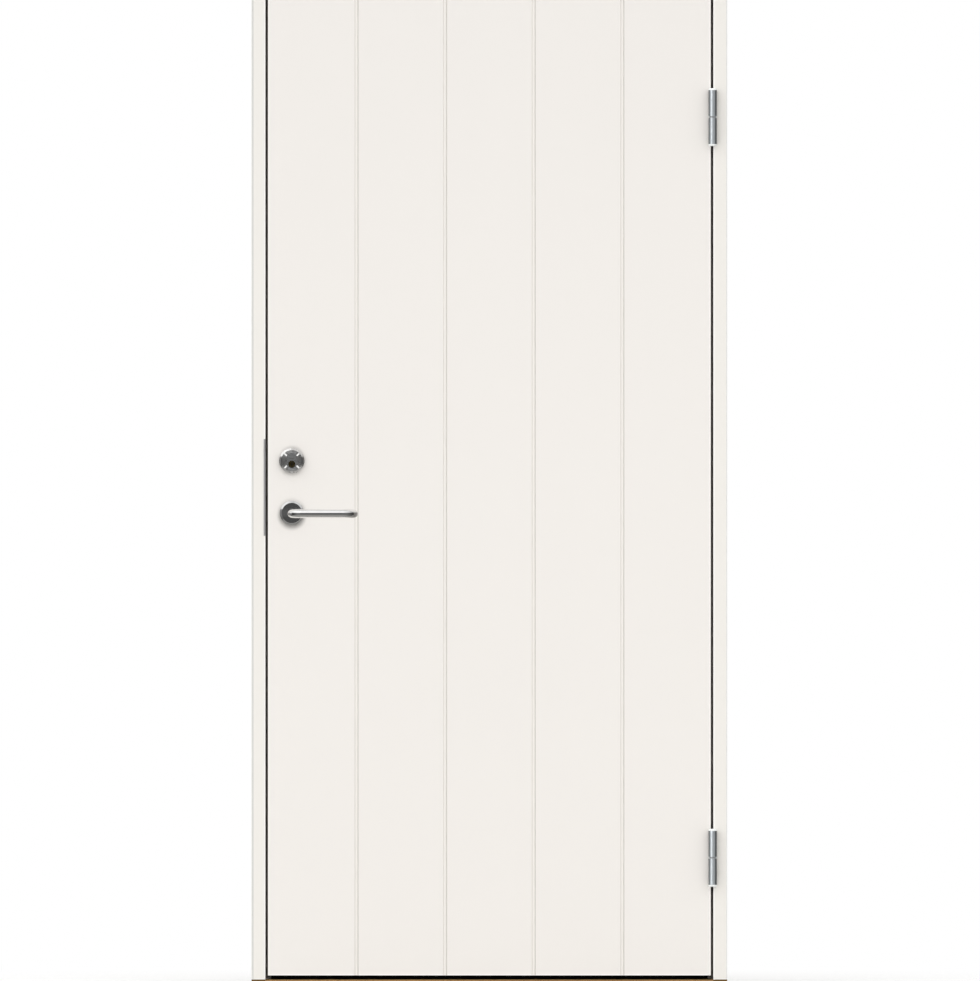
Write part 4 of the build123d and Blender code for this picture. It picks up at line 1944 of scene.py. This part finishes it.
@dataclass
class Seals(Assembly):
    """Bulb seals on the stop, in place of the plain strips."""

    foot: float = 1.6 * MM
    waist: float = 0.3 * MM
    bulb_share: float = 0.86
    fullness: float = 0.7
    bulb_steps: int = 8

    def section(self, width: float, depth: float) -> list[Point]:
        """A seal's section: a flat foot, a waist and a bulb.

        Args:
            width: its width along the stop.
            depth: how far it stands off the stop.

        Returns:
            The corners, with the stop at v = 0 and the bulb's crown at v = depth.
        """
        half = width / 2
        bulb = self.bulb_share * half
        neck = self.foot + self.waist
        angles = [math.pi * i / self.bulb_steps for i in range(1, self.bulb_steps)]
        crown = [
            (bulb * math.cos(a), neck + (depth - neck) * math.sin(a) ** self.fullness) for a in angles
        ]
        right = [(half, 0.0), (half, self.foot), (bulb, neck)]
        left = [(-bulb, neck), (-half, self.foot), (-half, 0.0)]
        return [*right, *crown, *left]

    def strip(self, node: str, coat: Coat, upright: bool) -> bpy.types.Object:
        """Builds one strip.

        Args:
            node: the CAD node it stands for.
            coat: its finish.
            upright: whether it runs along Z rather than X.

        Returns:
            The strip.
        """
        low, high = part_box(node)
        size = high - low
        start = box_end(node, Facing.INSIDE)
        if upright:
            columns = ((1, 0, 0), (0, -1, 0), (0, 0, 1))
            start.z = low.z
            width, length = size.x, size.z
        else:
            columns = ((0, 0, 1), (0, -1, 0), (1, 0, 0))
            start.x = low.x
            width, length = size.z, size.x
        place = Matrix.Translation(start) @ Matrix(columns).transposed().to_4x4()
        shape = Shape().prism(self.section(width, size.y), place, length)
        return self.piece(shape, node + "_bulb", coat, Slot.SEAL_RUBBER, Body.FRAME, node)

    def build(self) -> None:
        """Builds the four strips."""
        self.strip("lock_side_seal", Coat.SIDE_RUBBER, upright=True)
        self.strip("hinge_side_seal", Coat.SIDE_RUBBER, upright=True)
        self.strip("head_seal", Coat.SIDE_RUBBER, upright=False)
        self.strip("threshold_seal", Coat.SILL_RUBBER, upright=False)


@dataclass(frozen=True)
class Lamp:
    """A far-off lamp in front of the door, with its angles in degrees."""

    strength: float
    softness: float
    rise: float
    turn: float

    def set_up(self, name: str, side: int) -> bpy.types.Object:
        """Puts the lamp in the scene.

        Args:
            name: its name.
            side: -1 at the left, 1 at the right.

        Returns:
            The lamp.
        """
        data = bpy.data.lights.new(name, "SUN")
        data.energy = self.strength
        data.angle = math.radians(self.softness)
        light = bpy.data.objects.new(name, data)
        light.rotation_euler = (math.radians(90 - self.rise), 0, math.radians(side * self.turn))
        bpy.context.scene.collection.objects.link(light)
        return light


@dataclass
class Stage:
    """The floor, the light and the camera; turns are in degrees from the front, the left above 0."""

    view_width: float = 2.0416
    distance: float = 40.0
    look_x: float = 1.35 * MM
    look_z: float = 1.0297
    sensor: float = 36.0
    clip_share: float = 4.0
    fill: Lamp = Lamp(strength=0.90, softness=96.0, rise=13.0, turn=35.0)
    hinge_lamp: Lamp = Lamp(strength=0.52, softness=22.0, rise=8.0, turn=33.0)
    sky: float = 1.0
    sky_tint: Colour = (1.0, 0.998, 0.992)
    sky_start: Point = (0.22, 0.45)
    zenith: float = 0.7
    zenith_start: Point = (0.85, 1.0)
    bright_turn: float = 40.0
    bright_fade: Point = (20.0, 60.0)
    bright_share: float = 1.25
    dim_turn: Point = (-100.0, -45.0)
    dim_share: float = 0.55
    low_front: float = 0.185
    dark_front: float = 0.09
    dark_edge: Point = (0.14, 0.30)
    backdrop: float = 1.0
    backdrop_lean: float = 0.25
    backdrop_edge: Point = (0.06, 0.24)
    floor_size: float = 7.0
    floor_pale: Colour = (0.95, 0.95, 0.95)
    floor_near: Colour = (0.30, 0.30, 0.29)
    floor_far: Colour = (0.16, 0.16, 0.155)
    floor_change: Point = (1.1, 1.6)
    floor_bounce: Colour = (0.71, 0.708, 0.70)
    shadow_fade: Point = (0.28, 1.4)

    def camera(self) -> None:
        """Sets the camera straight in front, far off with a long lens."""
        data = bpy.data.cameras.new("front view")
        data.sensor_width = self.sensor
        data.lens = self.sensor * self.distance / self.view_width
        data.clip_end = self.clip_share * self.distance
        camera = bpy.data.objects.new("front view", data)
        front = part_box("outer_panel")[0].y
        camera.location = (self.look_x, front - self.distance, self.look_z)
        camera.rotation_euler = (math.radians(90), 0, 0)
        bpy.context.scene.collection.objects.link(camera)
        bpy.context.scene.camera = camera

    def lamps(self) -> None:
        """Sets two broad lamps that metal doesn't mirror, and a narrow one that only the hinges catch."""
        for name, side in (("left fill", -1), ("right fill", 1)):
            self.fill.set_up(name, side).visible_glossy = False
        caught = bpy.data.collections.new("hinge pieces")
        for made in bpy.context.scene.objects:
            if "_hinge_" in made.name and made.type == "MESH":
                caught.objects.link(made)
        self.hinge_lamp.set_up("hinge light", -1).light_linking.receiver_collection = caught

    def sky_level(self, net: Net, x: Socket, y: Socket, z: Socket) -> Socket:
        """Works out how bright the sky is: brighter at the left, dimmer at the right and overhead.

        Args:
            net: the world's nodes.
            x: the direction's X.
            y: the direction's Y.
            z: the direction's Z.

        Returns:
            The brightness, 0 below the sky.
        """
        turn = net.math("ARCTAN2", net.math("MULTIPLY", x, -1.0), net.math("MULTIPLY", y, -1.0))
        off = net.apart(turn, math.radians(self.bright_turn))
        left = net.ramp(off, *map(math.radians, self.bright_fade), self.bright_share, 1.0)
        right = net.ramp(turn, *map(math.radians, self.dim_turn), self.dim_share, 1.0)
        high = net.ramp(z, *self.zenith_start, 1.0, self.zenith)
        level = net.ramp(z, *self.sky_start, 0.0, self.sky)
        for share in (high, left, right):
            level = net.math("MULTIPLY", level, share)
        return level

    def low_level(self, net: Net, x: Socket, y: Socket, z: Socket) -> Socket:
        """Works out how bright it is low down: dim in front, darkest round the camera, white behind.

        Args:
            net: the world's nodes.
            x: the direction's X.
            y: the direction's Y.
            z: the direction's Z.

        Returns:
            The brightness.
        """
        lean = net.math("SUBTRACT", y, net.math("MULTIPLY", x, self.backdrop_lean))
        behind = net.ramp(lean, *self.backdrop_edge, 0.0, self.backdrop)
        front = net.ramp(net.slant(x, z), *self.dark_edge, self.dark_front, self.low_front)
        return net.math("MAXIMUM", behind, front)

    def world(self) -> None:
        """Lights the scene from fixed directions, and shows white where the camera looks past it."""
        world = bpy.data.worlds.new("studio")
        world.use_nodes = True
        bpy.context.scene.world = world
        net = Net(world.node_tree)
        way = net.parts(net.coordinates("Generated"))
        studio = net.add("Background")
        net.feed(self.sky_tint, studio.inputs["Color"])
        level = net.math("MAXIMUM", self.sky_level(net, *way), self.low_level(net, *way))
        net.feed(level, studio.inputs["Strength"])
        seen = net.add("LightPath").outputs["Is Camera Ray"]
        chosen = net.choose(seen, studio.outputs[0], net.plain("Background", WHITE))
        net.feed(chosen, net.add("OutputWorld").inputs["Surface"])

    def floor_material(self) -> bpy.types.Material:
        """Makes the floor's material: pale with the shadow near the door, white farther off.

        Returns:
            The material.
        """
        material = bpy.data.materials.new("pale floor")
        material.use_nodes = True
        net = Net(material.node_tree)
        x, y, _ = net.parts(net.coordinates("Object"))
        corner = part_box("threshold")[1]
        past = []
        for along, edge in ((x, corner.x), (y, corner.y)):
            past.append(net.math("MAXIMUM", net.math("SUBTRACT", net.math("ABSOLUTE", along), edge), 0.0))
        far = net.slant(*past)
        shade = net.ramp(far, *self.floor_change, 0.0, 1.0)
        mirrored = net.plain("BsdfDiffuse", net.mix(shade, self.floor_near, self.floor_far))
        bounce = net.plain("BsdfDiffuse", self.floor_bounce)
        pale = net.plain("BsdfDiffuse", self.floor_pale)
        white = net.plain("Emission", WHITE)
        seen = net.choose(net.ramp(far, *self.shadow_fade, 0.0, 1.0), pale, white)
        path = net.add("LightPath").outputs
        lit = net.choose(path["Is Glossy Ray"], bounce, mirrored)
        chosen = net.choose(path["Is Camera Ray"], lit, seen)
        net.feed(chosen, net.add("OutputMaterial").inputs["Surface"])
        return material

    def floor(self) -> None:
        """Lays the floor."""
        half = self.floor_size / 2
        corners = [(u * half, v * half, 0) for u, v in ((-1, -1), (1, -1), (1, 1), (-1, 1))]
        mesh = bpy.data.meshes.new("floor")
        mesh.from_pydata(corners, [], [range(len(corners))])
        mesh.materials.append(self.floor_material())
        floor = bpy.data.objects.new("floor", mesh)
        bpy.context.scene.collection.objects.link(floor)

    def build(self) -> None:
        """Builds the stage."""
        bpy.context.scene.view_settings.view_transform = "Standard"
        self.camera()
        self.lamps()
        self.world()
        self.floor()


def main() -> None:
    """Builds the door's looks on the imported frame."""
    logging.basicConfig(level=logging.INFO, format="%(message)s")
    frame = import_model()
    palette = Palette()
    CadFinishes(palette).dress(frame)
    LeverSet(palette).build()
    KeyCylinder(palette).build()
    Hinges(palette).build()
    LockPlates(palette).build()
    FrameScrews(palette).build(frame["record"]["mounts"])
    Seals(palette).build()
    Stage().build()


if __name__ == "__main__":
    main()
